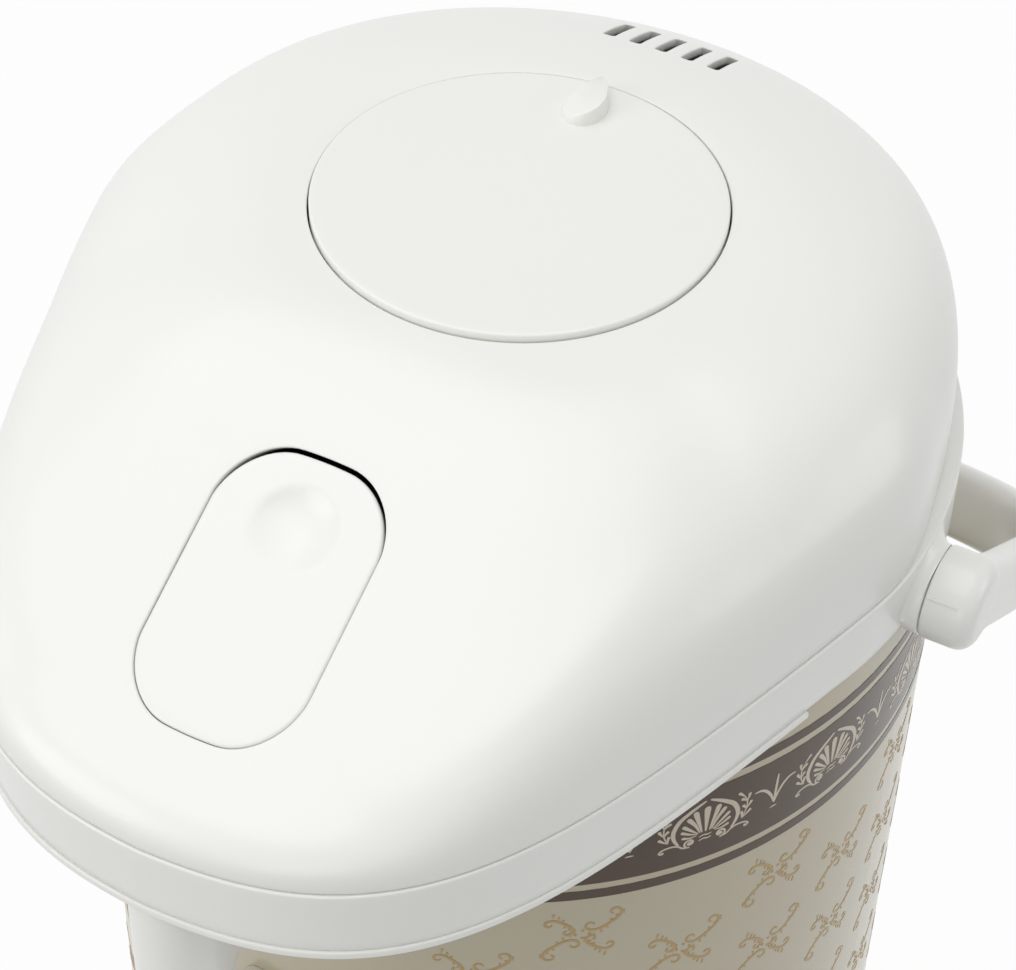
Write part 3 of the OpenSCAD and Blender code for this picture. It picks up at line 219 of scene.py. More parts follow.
finishes = {
    "white_plastic": moulded("glossyWhitePlastic", (0.83, 0.835, 0.80), 0.3, 0.08, coat=0.1),
    "inner_plastic": moulded("plainWarmPlastic", (0.66, 0.64, 0.57), 0.42, 0.3),
    "printed_steel": enamel("creamEnamel", (0.465, 0.415, 0.295)),
    "steel": brushedMetal("drawnSteel", (0.62, 0.62, 0.61), 0.26),
    "cast_plate": castMetal("castAluminium", (0.6, 0.6, 0.6)),
    "spring_wire": brushedMetal("springWire", (0.5, 0.5, 0.5), 0.3, (1.0, 1.0, 1.0)),
    "brass": brushedMetal("platedBrass", (0.72, 0.54, 0.24), 0.25, (1.0, 30.0, 1.0)),
    "black_plastic": moulded("darkPlastic", (0.022, 0.022, 0.024), 0.4, 0.4),
    "black_rubber": elastic("blackRubber", (0.018, 0.018, 0.018), 0.62),
    "silicone": elastic("milkySilicone", (0.66, 0.65, 0.58), 0.45, 0.4),
    "board": circuitBoard("circuitBoard", (0.012, 0.11, 0.045)),
    "ceramic": moulded("ceramicBody", (0.72, 0.69, 0.6), 0.3, 0.15, coat=0.2),
    "panel": moulded("panelPlastic", (0.62, 0.60, 0.53), 0.22, 0.08, coat=0.4),
    "clear": clearPlastic("clearPlastic", (0.88, 0.93, 0.93)),
    "lamp": tintedLens("lampLens", (0.75, 0.25, 0.05)),
}
bandInk = printInk("bandInk", (0.052, 0.026, 0.009), 0.25)
paleInk = printInk("paleInk", (0.56, 0.50, 0.40), 0.3)
tanInk = printInk("tanInk", (0.42, 0.29, 0.115), 0.3)
for part in frame["record"]["subparts"]:
    cadNode = frame["nodes"][part["node"]]
    cadNode.data.materials.clear()
    cadNode.data.materials.append(finishes[part["material_slot"]])
print("materials", len(bpy.data.materials))


# mesh tools

class Skin:
    # gathers points and faces in millimetres
    def __init__(self):
        self.points, self.faces = [], []

    def ring(self, points):
        start = len(self.points)
        self.points += [tuple(p) for p in points]
        return list(range(start, len(self.points)))

    def strip(self, first, second):
        # a closed band of faces between two rings
        for i in range(len(first)):
            j = (i + 1) % len(first)
            self.faces.append((first[i], first[j], second[j], second[i]))

    def tube(self, rings, wrap=False):
        # through the rings in turn, and back to the first one or closed at both ends
        ids = [self.ring(r) for r in rings]
        for a, b in zip(ids, ids[1:]):
            self.strip(a, b)
        if wrap:
            self.strip(ids[-1], ids[0])
        else:
            self.faces.append(tuple(reversed(ids[0])))
            self.faces.append(tuple(ids[-1]))

    def add(self, other, place=None):
        place = place or Matrix.Identity(4)
        start = len(self.points)
        self.points += [tuple(place @ Vector(p)) for p in other.points]
        self.faces += [tuple(i + start for i in face) for face in other.faces]


def makePiece(name, skin, body, slotName, replaces=(), sharp=38, material=None):
    # makes an object of the skin; edges that turn by more than sharp degrees stay crisp
    mesh = bpy.data.meshes.new(name)
    mesh.from_pydata([[c * mm for c in p] for p in skin.points], [], skin.faces)
    shape = bmesh.new()
    shape.from_mesh(mesh)
    bmesh.ops.remove_doubles(shape, verts=shape.verts, dist=1e-7)
    bmesh.ops.dissolve_degenerate(shape, edges=shape.edges, dist=1e-8)
    bmesh.ops.recalc_face_normals(shape, faces=shape.faces)
    openEdges = sum(1 for e in shape.edges if len(e.link_faces) != 2)
    for face in shape.faces:
        face.smooth = True
    for edge in shape.edges:
        if len(edge.link_faces) == 2:
            edge.smooth = edge.calc_face_angle(0.0) < radians(sharp)
    shape.to_mesh(mesh)
    shape.free()
    piece = bpy.data.objects.new(name, mesh)
    bpy.context.scene.collection.objects.link(piece)
    mesh.materials.append(material or finishes[slotName])
    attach(piece, body)
    if replaces:
        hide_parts(*replaces)
    print(name, len(mesh.polygons), "faces", "open edges", openEdges)
    return piece


def circle(radius, count, centre=(0.0, 0.0)):
    return [(centre[0] + radius * cos(2 * pi * i / count),
             centre[1] + radius * sin(2 * pi * i / count)) for i in range(count)]


def roundedRect(width, height, corner, step=1.0):
    # counter-clockwise, centred
    points = []
    arcSteps = max(4, round(corner * pi / 2 / step))
    for k, (sx, sy) in enumerate(((1, 1), (-1, 1), (-1, -1), (1, -1))):
        cx, cy = sx * (width / 2 - corner), sy * (height / 2 - corner)
        for i in range(arcSteps + 1):
            a = pi / 2 * (k + i / arcSteps)
            points.append((cx + corner * cos(a), cy + corner * sin(a)))
        endX, endY = points[-1]
        alongX, alongY = ((-1, 0), (0, -1), (1, 0), (0, 1))[k]
        side = (height if k % 2 else width) - 2 * corner
        sideSteps = max(1, round(side / step))
        for i in range(1, sideSteps):
            reach = i / sideSteps * side
            points.append((endX + alongX * reach, endY + alongY * reach))
    return points


def offset(loop, distance):
    # moves a counter-clockwise loop outwards
    moved = []
    for i, (x, y) in enumerate(loop):
        (x0, y0), (x1, y1) = loop[i - 1], loop[(i + 1) % len(loop)]
        length = hypot(x1 - x0, y1 - y0) or 1.0
        moved.append((x + distance * (y1 - y0) / length, y - distance * (x1 - x0) / length))
    return moved


def inside(loop, x, y):
    hit = False
    for i, (x1, y1) in enumerate(loop):
        x0, y0 = loop[i - 1]
        if (y0 > y) != (y1 > y) and x < (x1 - x0) * (y - y0) / (y1 - y0) + x0:
            hit = not hit
    return hit


def nearLoop(loop, x, y, gap):
    return any(abs(px - x) < gap and abs(py - y) < gap for px, py in loop)


def planMesh(outer, holes, spacing):
    # triangles between an outer loop and its holes: (points, triangles, ids of each loop's points)
    points, edges, loops = [], [], []
    for loop in [outer] + holes:
        start = len(points)
        points += loop
        ids = list(range(start, len(points)))
        loops.append(ids)
        edges += [(ids[i - 1], ids[i]) for i in range(len(ids))]
    keepOff = spacing * 0.6      # strip along the loops that gets no points of its own
    rowRise = spacing * 0.866
    xs, ys = [p[0] for p in outer], [p[1] for p in outer]
    row, y = 0, min(ys) + spacing * 0.5
    boxes = [(min(p[0] for p in h) - spacing, max(p[0] for p in h) + spacing,
              min(p[1] for p in h) - spacing, max(p[1] for p in h) + spacing) for h in holes]
    while y < max(ys):
        x = min(xs) + spacing * (0.5 + 0.5 * (row % 2))
        while x < max(xs):
            near = [h for h, b in zip(holes, boxes) if b[0] < x < b[1] and b[2] < y < b[3]]
            if inside(outer, x, y) and not nearLoop(outer, x, y, keepOff) and not any(
                    inside(h, x, y) or nearLoop(h, x, y, keepOff) for h in near):
                points.append((x, y))
            x += spacing
        y += rowRise
        row += 1
    verts, _, tris, origins, _, _ = delaunay_2d_cdt([Vector(p) for p in points], edges, [], 0, 1e-6)
    where = {}
    for i, sources in enumerate(origins):
        for s in sources:
            where[s] = i
    kept = []
    for tri in tris:
        x = sum(verts[i][0] for i in tri) / 3
        y = sum(verts[i][1] for i in tri) / 3
        if inside(outer, x, y) and not any(inside(h, x, y) for h in holes):
            kept.append(tuple(tri))
    return [tuple(v) for v in verts], kept, [[where[i] for i in ids] for ids in loops]


quarter = (0.0, 0.25, 0.5, 0.75, 1.0)   # steps of a quarter round


def softPlate(outer, holes, top, bottom, radius, spacing, openOuter=False, leans=()):
    # a plate with rounded edges, between the heights top(x, y) and bottom(x, y);
    # a hole with a lean is cut aslant, and with openOuter the outer edge is left for the caller to close
    skin = Skin()
    inner = outer if openOuter else offset(outer, -radius)
    wide = [offset(h, radius) for h in holes]
    plan, tris, loops = planMesh(inner, wide, spacing)
    sheets = []
    for height, flip in ((top, False), (bottom, True)):
        ids = skin.ring([(x, y, height(x, y)) for x, y in plan])
        skin.faces += [tuple(ids[i] for i in (reversed(t) if flip else t)) for t in tris]
        sheets.append(ids)
    edges = []
    for k, ids in enumerate(loops):
        source = outer if k == 0 else holes[k - 1]
        if k == 0 and openOuter:
            edges.append([[sheet[i] for i in ids] for sheet in sheets])
            continue
        sign = -1 if k == 0 else 1
        lean = leans[k - 1] if leans and k > 0 else None

        def slanted(points):
            # further back the deeper it is
            return [(x, y + lean(y) * (top(x, y) - z), z) for x, y, z in points] if lean else points
        if lean:
            for i in ids:
                skin.points[sheets[1][i]] = slanted([skin.points[sheets[1][i]]])[0]
        rings = [[sheets[0][i] for i in ids]]
        for side, height in ((0, top), (1, bottom)):
            steps = quarter[1:] if side == 0 else quarter[:0:-1]
            for f in steps:
                a = f * pi / 2
                loop = offset(source, sign * radius * (1 - sin(a)))
                drop = radius * (1 - cos(a))
                level = [(x, y, height(x, y) + (drop if side else -drop)) for x, y in loop]
                rings.append(skin.ring(slanted(level)))
        rings.append([sheets[1][i] for i in ids])
        for a, b in zip(rings, rings[1:]):
            skin.strip(a, b)
    return skin, edges


def turned(profile, count=96, axis="z"):
    # a closed profile of (radius, height) turned around an axis; a radius of 0 closes it
    skin = Skin()
    rings = []
    for r, h in profile:
        if r < 1e-6:
            rings.append(skin.ring([(0.0, 0.0, h)]))
        else:
            rings.append(skin.ring([(x, y, h) for x, y in circle(r, count)]))
    pairs = list(zip(rings, rings[1:]))
    if profile[0][0] > 1e-6:
        pairs.append((rings[-1], rings[0]))
    for a, b in pairs:
        if len(a) == 1 and len(b) == 1:
            continue
        if len(a) == 1:
            skin.faces += [(a[0], b[i], b[(i + 1) % count]) for i in range(count)]
        elif len(b) == 1:
            skin.faces += [(a[i], b[0], a[(i + 1) % count]) for i in range(count)]
        else:
            skin.strip(a, b)
    if axis == "x":
        skin.points = [(z, y, -x) for x, y, z in skin.points]
    return skin


def arc(centre, radius, start, end, steps=6):
    # points of an arc in degrees, for profiles
    return [(centre[0] + radius * cos(radians(start + (end - start) * i / steps)),
             centre[1] + radius * sin(radians(start + (end - start) * i / steps))) for i in range(steps + 1)]


def carve(piece, skin):
    # cuts the closed shape in skin out of a piece
    mesh = bpy.data.meshes.new("cutter")
    mesh.from_pydata([[c * mm for c in p] for p in skin.points], [], skin.faces)
    shape = bmesh.new()
    shape.from_mesh(mesh)
    bmesh.ops.recalc_face_normals(shape, faces=shape.faces)
    shape.to_mesh(mesh)
    shape.free()
    cutter = bpy.data.objects.new("cutter", mesh)
    bpy.context.scene.collection.objects.link(cutter)
    change = piece.modifiers.new("carve", "BOOLEAN")
    change.operation, change.object, change.solver = "DIFFERENCE", cutter, "EXACT"
    bpy.context.view_layer.update()
    result = bpy.data.meshes.new_from_object(piece.evaluated_get(bpy.context.evaluated_depsgraph_get()))
    piece.modifiers.remove(change)
    piece.data = result
    bpy.data.objects.remove(cutter)


def block(low, high):
    (x0, y0, z0), (x1, y1, z1) = low, high
    skin = Skin()
    skin.tube([[(x0, y0, z), (x1, y0, z), (x1, y1, z), (x0, y1, z)] for z in (z0, z1)])
    return skin


# outline and dome

seamZ = boxOf("shoulder")[1].z
rimZ = boxOf("lid_cover")[0].z
outline = dict(bodyRadius=100.0, noseReach=153.4, noseFlat=0.72, noseCorner=5.2, taperStart=75.5,
               sideSwell=2.0, shoulderOver=1.0, swellSide=80.0, swellFront=30.6, swellRear=12.0,
               stepFront=0.5, stepRear=3.0, stepFrom=80.0, stepOver=20.0, wallDraft=1.0)
dome = dict(crown=rimZ + 52.1, tilt=0.0155, slope=0.52, crossFlat=0.1, crossSpan=60.0,
            noseLift=5.0, liftFrom=133.0, liftOver=21.0,
            # at the side, at the nose and at the back
            fallStart=(54.3, 45.0, 41.0), fallRadius=(65.5, 69.0, 84.0),
            edgeWidth=(27.6, 15.0, 31.0), edgePower=(3.5, 2.6, 7.0))


def smooth(x):
    s = min(1.0, max(0.0, x))
    return s * s * (3 - 2 * s)


def planRadius(angle):
    # distance of the shoulder's outline from the axis; 0 degrees is the nose, 180 the back
    o, t = outline, abs((angle + 180) % 360 - 180)
    taper = o["bodyRadius"] / cos(radians(max(0.0, o["taperStart"] - t)))
    nose = o["noseReach"] / max(0.05, cos(radians(o["noseFlat"] * t)))
    n = o["noseCorner"]
    if t < o["swellSide"]:
        swell = o["sideSwell"] * exp(-((t - o["swellSide"]) / o["swellFront"]) ** 2)
    else:
        swell = o["shoulderOver"] + (o["sideSwell"] - o["shoulderOver"]) * exp(
            -((t - o["swellSide"]) / o["swellRear"]) ** 2)
    return (taper ** -n + nose ** -n) ** (-1 / n) + swell


def rimRadius(angle):
    o, t = outline, abs((angle + 180) % 360 - 180)
    return planRadius(angle) - o["stepFront"] - o["stepRear"] * smooth((t - o["stepFrom"]) / o["stepOver"])


def polar(angle, radius):
    return radius * sin(radians(angle)), -radius * cos(radians(angle))


def bySide(angle, values):
    side, nose, back = values
    c = cos(radians(angle))
    return side + (nose - side) * max(0.0, c) ** 2 + (back - side) * max(0.0, -c) ** 2


def crownAt(angle, radius):
    t = abs((angle + 180) % 360 - 180)
    k = dome["crossFlat"] + (1 - dome["crossFlat"]) * smooth(t / dome["crossSpan"])
    s = radius * hypot(cos(radians(angle)), k * sin(radians(angle)))
    bend = bySide(angle, dome["fallRadius"])
    d = max(0.0, s - bySide(angle, dome["fallStart"]))
    knee = dome["slope"] * bend
    fall = d * d / (2 * bend) if d < knee else dome["slope"] * (d - knee / 2)
    lift = dome["noseLift"] * smooth((radius * cos(radians(angle)) - dome["liftFrom"]) / dome["liftOver"])
    return dome["crown"] - dome["tilt"] * radius * cos(radians(angle)) - fall + lift


def domeHeight(angle, radius):
    q = min(1.0, max(0.0, 1 - (rimRadius(angle) - radius) / bySide(angle, dome["edgeWidth"])))
    n = bySide(angle, dome["edgePower"])
    return rimZ + (crownAt(angle, radius) - rimZ) * (1 - q ** n) ** (1 / n)


def domeAt(x, y):
    return domeHeight(degrees(atan2(x, -y)), hypot(x, y))


# lid cover

lid = dict(wall=2.4, edge=0.4, rimEdge=0.5, rimDrop=0.16, discOpening=45.2, spacing=2.4,
           leverRear=80.4, rearGap=0.8, leverGap=0.16, undercut=0.55, undercutOver=14.0,
           vents=5, ventPitch=6.6, ventWidth=2.9, ventLength=12.8, ventCorner=0.9, ventY=74.7,
           hingeHalf=27.0, hingeTop=257.0, notchReach=97.0, notchEdge=0.12, zone=0.28, zoneInner=42.0,
           rimSteps=12)
lever = dict(width=38.0, length=60.0, corner=13.5, bow=2.2, thick=2.6, edge=0.7, pivotDrop=9.0,
             dimpleY=-15.5, dimpleRadius=9.4, dimpleDeep=2.3, dimpleFront=0.25,
             bossX=13.5, bossRadius=3.3, bossHalf=1.5, webHalf=3.0,
             armHalf=2.0, armWeb=2.6, armFront=1.6, armRear=1.2, tipRadius=2.0)
slope = atan(dome["slope"] + dome["tilt"])
leverTop = crownAt(0.0, lid["leverRear"])


def leverShape(gap, rearGap):
    # the lever's outline on its slope, grown by its gaps; its ends are slightly bowed
    v = lever
    shape = []
    for x, y in roundedRect(v["width"] + 2 * gap, v["length"] + gap + rearGap, v["corner"] + gap, 1.2):
        bow = v["bow"] * (1 - (x / (v["width"] / 2 + gap)) ** 2) - v["bow"]
        end = max(-1.0, min(1.0, 3 * y / v["length"]))
        shape.append((x, y - v["length"] / 2 + (rearGap - gap) / 2 + bow * end))
    return shape


def lidCover():
    # the dome is one plate with its openings, closed by rings that run down to the rim
    angles = [float(a) for a in range(0, 360)]
    # two close columns at each side of the hinge notch
    notchAngle = degrees(asin(lid["hingeHalf"] / lid["notchReach"]))
    for side in (180 - notchAngle, 180 + notchAngle):
        pair = [side - lid["notchEdge"], side + lid["notchEdge"]]
        angles = [a for a in angles if abs(a - side) > 0.5] + pair
    angles.sort()
    inNotch = [abs(a - 180) < notchAngle for a in angles]

    def footRadius(a, level):
        # how far out the dome is at that level
        low, high = rimRadius(a) - 25, rimRadius(a)
        for _ in range(40):
            middle = (low + high) / 2
            low, high = (middle, high) if domeHeight(a, middle) > level else (low, middle)
        return low

    zoneRadius = [rimRadius(a) - (rimRadius(a) - lid["zoneInner"]) * lid["zone"] ** 2 for a in angles]
    outerLoop = [polar(a, r) for a, r in zip(angles, zoneRadius)]

    window = leverShape(lid["leverGap"], lid["rearGap"])
    holes = [circle(lid["discOpening"], 220), [(x, -lid["leverRear"] + y * cos(slope)) for x, y in window]]

    def windowLean(y):
        # square to the slope in front, and undercut behind the lever
        behind = y + lid["leverRear"] + lever["length"] / 2
        return tan(slope) + lid["undercut"] * smooth(behind / lid["undercutOver"])
    leans = [None, windowLean] + [None] * lid["vents"]
    for i in range(lid["vents"]):
        cx = (i - (lid["vents"] - 1) / 2) * lid["ventPitch"]
        holes.append([(cx + x, lid["ventY"] + y) for x, y in
                      roundedRect(lid["ventWidth"], lid["ventLength"], lid["ventCorner"], 0.7)])
    skin, edges = softPlate(outerLoop, holes, domeAt, lambda x, y: domeAt(x, y) - lid["wall"],
                            lid["edge"], lid["spacing"], openOuter=True, leans=leans)
    topEdge, bottomEdge = edges[0]

    outer, innerRings = [topEdge], [bottomEdge]
    steps = lid["rimSteps"]
    foot = [footRadius(a, lid["hingeTop"]) if n else rimRadius(a) for a, n in zip(angles, inNotch)]
    level = [lid["hingeTop"] if n else rimZ - lid["rimDrop"] for n in inNotch]
    for k in range(1, steps + 1):
        f = 1 - k / steps
        ring, under = [], []
        for a, zone, r0, z0 in zip(angles, zoneRadius, foot, level):
            r = r0 - (r0 - zone) * f * f
            z = max(domeHeight(a, r), z0)
            if k == steps:
                z = z0 + lid["rimEdge"]
            ring.append((*polar(a, r), max(z, z0 + lid["rimEdge"])))
            wall = lid["wall"] * (1 - f) ** 0.7
            under.append((*polar(a, r - wall), max(z - lid["wall"] * f, z0)))
        outer.append(skin.ring(ring))
        innerRings.append(skin.ring(under))
    for rise, back in ((0.15, 0.13), (0.0, 0.45)):
        ring = [(*polar(a, r0 - back), z0 + rise) for a, r0, z0 in zip(angles, foot, level)]
        outer.append(skin.ring(ring))
    for rings in (outer, innerRings):
        for a, b in zip(rings, rings[1:]):
            skin.strip(a, b)
    skin.strip(outer[-1], innerRings[-1])
    return skin


makePiece("lidCover", lidCover(), "lid", "white_plastic", ["lid_cover"], sharp=50)


# shoulder

shoulder = dict(wall=2.5, deck=2.5, edge=0.5, lowEdge=0.5, height=18.0, mouth=75.2, collar=79.6,
                collarDrop=2.5, seat=100.2, seatDepth=5.2, mouthEdge=0.4, wallTop=2.2, rings=5,
                bossRadius=10.4, bossOut=104.0, bossFoot=100.7, bossEdge=0.7, bossDeep=0.35,
                bossBelowSeam=1.0, fillet=5.0, filletFlat=0.62, filletFrom=-0.42, filletOver=0.5,
                pivotRise=4.0)
shoulderZ = seamZ - shoulder["height"]
pivotZ = shoulderZ + shoulder["pivotRise"]


def shoulderShell():
    s = shoulder
    angles = range(360)
    floorR = outline["bodyRadius"] + outline["shoulderOver"]

    def wallRadius(a, z):
        # the wall leans in a little towards its lower edge
        top, low = planRadius(a), max(planRadius(a) - outline["wallDraft"], floorR)
        return low + (top - low) * min(1.0, (z - shoulderZ) / (s["height"] - s["wallTop"]))
    profile = []

    def addRing(radius, z):
        profile.append([(*polar(a, radius(a)), z) for a in angles])
    collarFoot = seamZ - s["deck"] - s["collarDrop"]
    mouth, soft = s["mouth"], s["mouthEdge"]
    addRing(lambda a: mouth, collarFoot)
    addRing(lambda a: mouth, seamZ - soft)
    addRing(lambda a: mouth + 0.3 * soft, seamZ - 0.3 * soft)
    addRing(lambda a: mouth + soft, seamZ)
    for k in range(1, s["rings"] + 1):
        addRing(lambda a: mouth + soft + (planRadius(a) - s["edge"] - mouth - soft) * k / s["rings"], seamZ)
    for k in range(1, s["rings"] + 1):
        turn = pi / 2 * k / s["rings"]
        addRing(lambda a: planRadius(a) - s["edge"] * (1 - sin(turn)), seamZ - s["edge"] * (1 - cos(turn)))
    for z in (seamZ - s["wallTop"], seamZ - 6, seamZ - 10, seamZ - 14, shoulderZ + s["lowEdge"]):
        addRing(lambda a: wallRadius(a, z), z)
    addRing(lambda a: wallRadius(a, shoulderZ) - 0.15, shoulderZ + 0.15)
    addRing(lambda a: wallRadius(a, shoulderZ) - 0.4, shoulderZ)

    def seatRadius(a):
        return max(planRadius(a) - s["wall"] - 0.6, s["seat"])
    addRing(seatRadius, shoulderZ)
    addRing(seatRadius, shoulderZ + s["seatDepth"])
    addRing(lambda a: planRadius(a) - s["wall"], shoulderZ + s["seatDepth"] + 0.3)
    addRing(lambda a: planRadius(a) - s["wall"], seamZ - s["deck"])
    addRing(lambda a: s["collar"], seamZ - s["deck"])
    addRing(lambda a: s["collar"], collarFoot)
    skin = Skin()
    skin.tube(profile, wrap=True)
    return skin


def earBoss(side):
    # the pivot boss, with a fillet that flows out of the wall over its upper part
    s = shoulder
    skin = Skin()
    count = 72
    rings = []

    def wallX(y, z):
        lower = max(0.0, 1 - (z - shoulderZ) / (s["height"] - s["wallTop"]))
        reach = planRadius(90.0) - outline["wallDraft"] * lower
        return sqrt(max(1.0, (reach + 0.2) ** 2 - y * y)) - 0.1

    for k in range(7):
        turn = radians(90 * k / 6)
        ring = []
        for i in range(count):
            phi = 2 * pi * i / count
            up = cos(phi)
            size = s["fillet"] * smooth((up - s["filletFrom"]) / s["filletOver"])
            r = s["bossRadius"] + size * (1 - sin(turn))
            y, z = r * sin(phi), pivotZ + r * up
            base = wallX(y, max(z, shoulderZ)) if z > shoulderZ else s["bossFoot"]
            base = max(s["bossFoot"], base) if up < -0.3 else base
            out = base - s["bossDeep"] + size * s["filletFlat"] * (1 - cos(turn))
            ring.append((side * out, y, min(z, seamZ - s["bossBelowSeam"])))
        rings.append(ring)
    face = ((s["bossOut"] - s["bossEdge"], 0.0), (s["bossOut"] - 0.2, 0.2), (s["bossOut"], s["bossEdge"]))
    for out, back in face:
        r = s["bossRadius"] - back
        rings.append([(side * out, r * sin(2 * pi * i / count), pivotZ + r * cos(2 * pi * i / count))
                      for i in range(count)])
    skin.tube(rings)
    return skin


latchSlot = dict(half=10.0, front=-135.0, rear=-124.0, below=4.0, above=2.0)
shell = makePiece("shoulderShell", shoulderShell(), "root", "white_plastic", ["shoulder"])
carve(shell, block((-latchSlot["half"], latchSlot["front"], seamZ - latchSlot["below"]),
                   (latchSlot["half"], latchSlot["rear"], seamZ + latchSlot["above"])))
for side, name in ((1, "pivotBossRight"), (-1, "pivotBossLeft")):
    makePiece(name, earBoss(side), "root", "white_plastic")


# press disc and its lock knob

disc = dict(radius=44.8, edge=0.55, thick=3.0, overCarrier=3.4, skirt=3.0, skirtWall=2.5, hub=5.0,
            catch=6.2, catchThick=1.2, knobTurn=3.5, knobLength=15.8, knobWidth=11.0, knobEnd=0.9,
            knobTaper=0.5, knobLow=0.6, knobHigh=4.9, knobLean=0.82)
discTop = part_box("press_carrier")[1].z / mm + disc["overCarrier"] + disc["thick"]


def pressDisc():
    d = disc
    hubFoot = boxOf("press_disc")[0].z
    under = discTop - d["thick"]
    skirtFoot, skirtIn = under - d["skirt"], d["radius"] - d["skirtWall"]
    catchTop = hubFoot + d["catchThick"]
    face = [(r, discTop) for r in (0, 15, 30, d["radius"] - d["edge"] - 2)]
    edge = arc((d["radius"] - d["edge"], discTop - d["edge"]), d["edge"], 90, 0, 5)
    back = [(d["radius"], skirtFoot), (skirtIn, skirtFoot), (skirtIn, under), (d["hub"], under),
            (d["hub"], catchTop), (d["catch"], catchTop), (d["catch"], hubFoot), (0, hubFoot)]
    return turned(face + edge + back, 200)


def lockKnob():
    # a teardrop seen from above, its wide end towards the middle of the disc; the flat top falls to the left
    d = disc
    skin = Skin()
    count = 64
    start, tip = d["radius"] - d["knobLength"] - d["knobEnd"], d["knobLength"]
    rings = []
    # how high each ring is, and how far it is pulled in by the rounding of the edge
    for level, pull in ((-0.3, 0.0), (0.2, 0.0), (0.55, 0.25), (0.85, 0.45), (0.95, 0.6), (1.0, 1.0)):
        ring = []
        for i in range(count):
            a = 2 * pi * i / count
            along = 0.5 - 0.5 * cos(a)                     # 0 at the wide end, 1 at the tip
            half = (d["knobWidth"] / 2 - pull) * (1 - d["knobTaper"] * along ** 2)
            x = half * sin(a)
            y = start + pull + (tip - 1.6 * pull) * along
            lean = 0.5 + 0.5 * x / (d["knobWidth"] / 2)    # 0 on the left, 1 on the right
            up = d["knobLean"] * lean + (1 - d["knobLean"]) * along
            high = d["knobLow"] + (d["knobHigh"] - d["knobLow"]) * up
            ring.append((x, y, discTop + (high * level if level > 0 else level)))
        rings.append(ring)
    skin.tube(rings)
    whole = Skin()
    whole.add(skin, Matrix.Rotation(radians(d["knobTurn"]), 4, "Z"))
    return whole


makePiece("pressDisc", pressDisc(), "disc", "white_plastic", ["press_disc"])
makePiece("lockKnob", lockKnob(), "disc", "white_plastic", sharp=45)


# release lever

onSlope = Matrix.Translation((0, -lid["leverRear"], leverTop)) @ Matrix.Rotation(slope, 4, "X")


def releaseLever():
    v = lever
    shape = leverShape(0.0, 0.0)

    def face(x, y):
        # the thumb's bowl has a firm edge and runs out a little softer towards the front
        r = min(1.0, hypot(x, y - v["dimpleY"]) / v["dimpleRadius"])
        front = smooth(0.5 - 0.5 * (y - v["dimpleY"]) / v["dimpleRadius"])
        return -v["dimpleDeep"] * (1 - r * r) ** (0.75 + 0.5 * front) * (1 - v["dimpleFront"] * front)
    plate, _ = softPlate(shape, [], face, lambda x, y: -v["thick"], v["edge"], 1.3)
    skin = Skin()
    skin.add(plate, onSlope)
    pivot = onSlope @ Vector((0, -v["length"] / 2, -v["pivotDrop"]))

    def web(x, halfWidth, halfLength):
        # a wall between the plate and the pivot's height
        skin.add(block((x - halfWidth, -v["length"] / 2 - halfLength, -v["pivotDrop"]),
                       (x + halfWidth, -v["length"] / 2 + halfLength, -v["thick"] + 0.2)), onSlope)
    r, h, soft = v["bossRadius"], v["bossHalf"], 0.3
    rim = arc((r, soft - h), soft, -90, 0, 3) + arc((r, h - soft), soft, 0, 90, 3)
    boss = turned([(0, -h)] + rim + [(0, h)], 40, "x")
    for x in (-v["bossX"], v["bossX"]):
        skin.add(boss, Matrix.Translation((pivot.x + x, pivot.y, pivot.z)))
        web(x, h, v["webHalf"])
    web(0, v["armHalf"], v["armWeb"])
    # the arm that reaches down into the latch slide, and its round tip
    half, tipZ = v["armHalf"], boxOf("release_lever")[0].z + v["tipRadius"]
    skin.add(block((-half, pivot.y - v["armFront"], tipZ), (half, pivot.y + v["armRear"], pivot.z)))
    r, bevel = v["tipRadius"], 0.1
    tip = turned([(0, -half), (r - bevel, -half), (r, bevel - half),
                  (r, half - bevel), (r - bevel, half), (0, half)], 32, "x")
    skin.add(tip, Matrix.Translation((0, pivot.y, tipZ)))
    return skin


makePiece("releaseLever", releaseLever(), "lever", "white_plastic", ["release_lever"])


# carrying handle

bail = dict(reach=134.0, corner=55.0, thick=9.0, width=17.0, droop=35.0, knuckle=10.7, knuckleIn=104.2,
            middle=110.6, knuckleOut=115.8, knuckleSoft=0.7, knuckleRound=4.2,
            ridge=0.26, ridgeStart=0.5, ridgeEnd=3.9, ridgeDeep=0.6,
            barWide=1.12, barDrop=1.3, eyeWide=1.12, eyeReach=22.0, roundness=3.4, bendSteps=24)


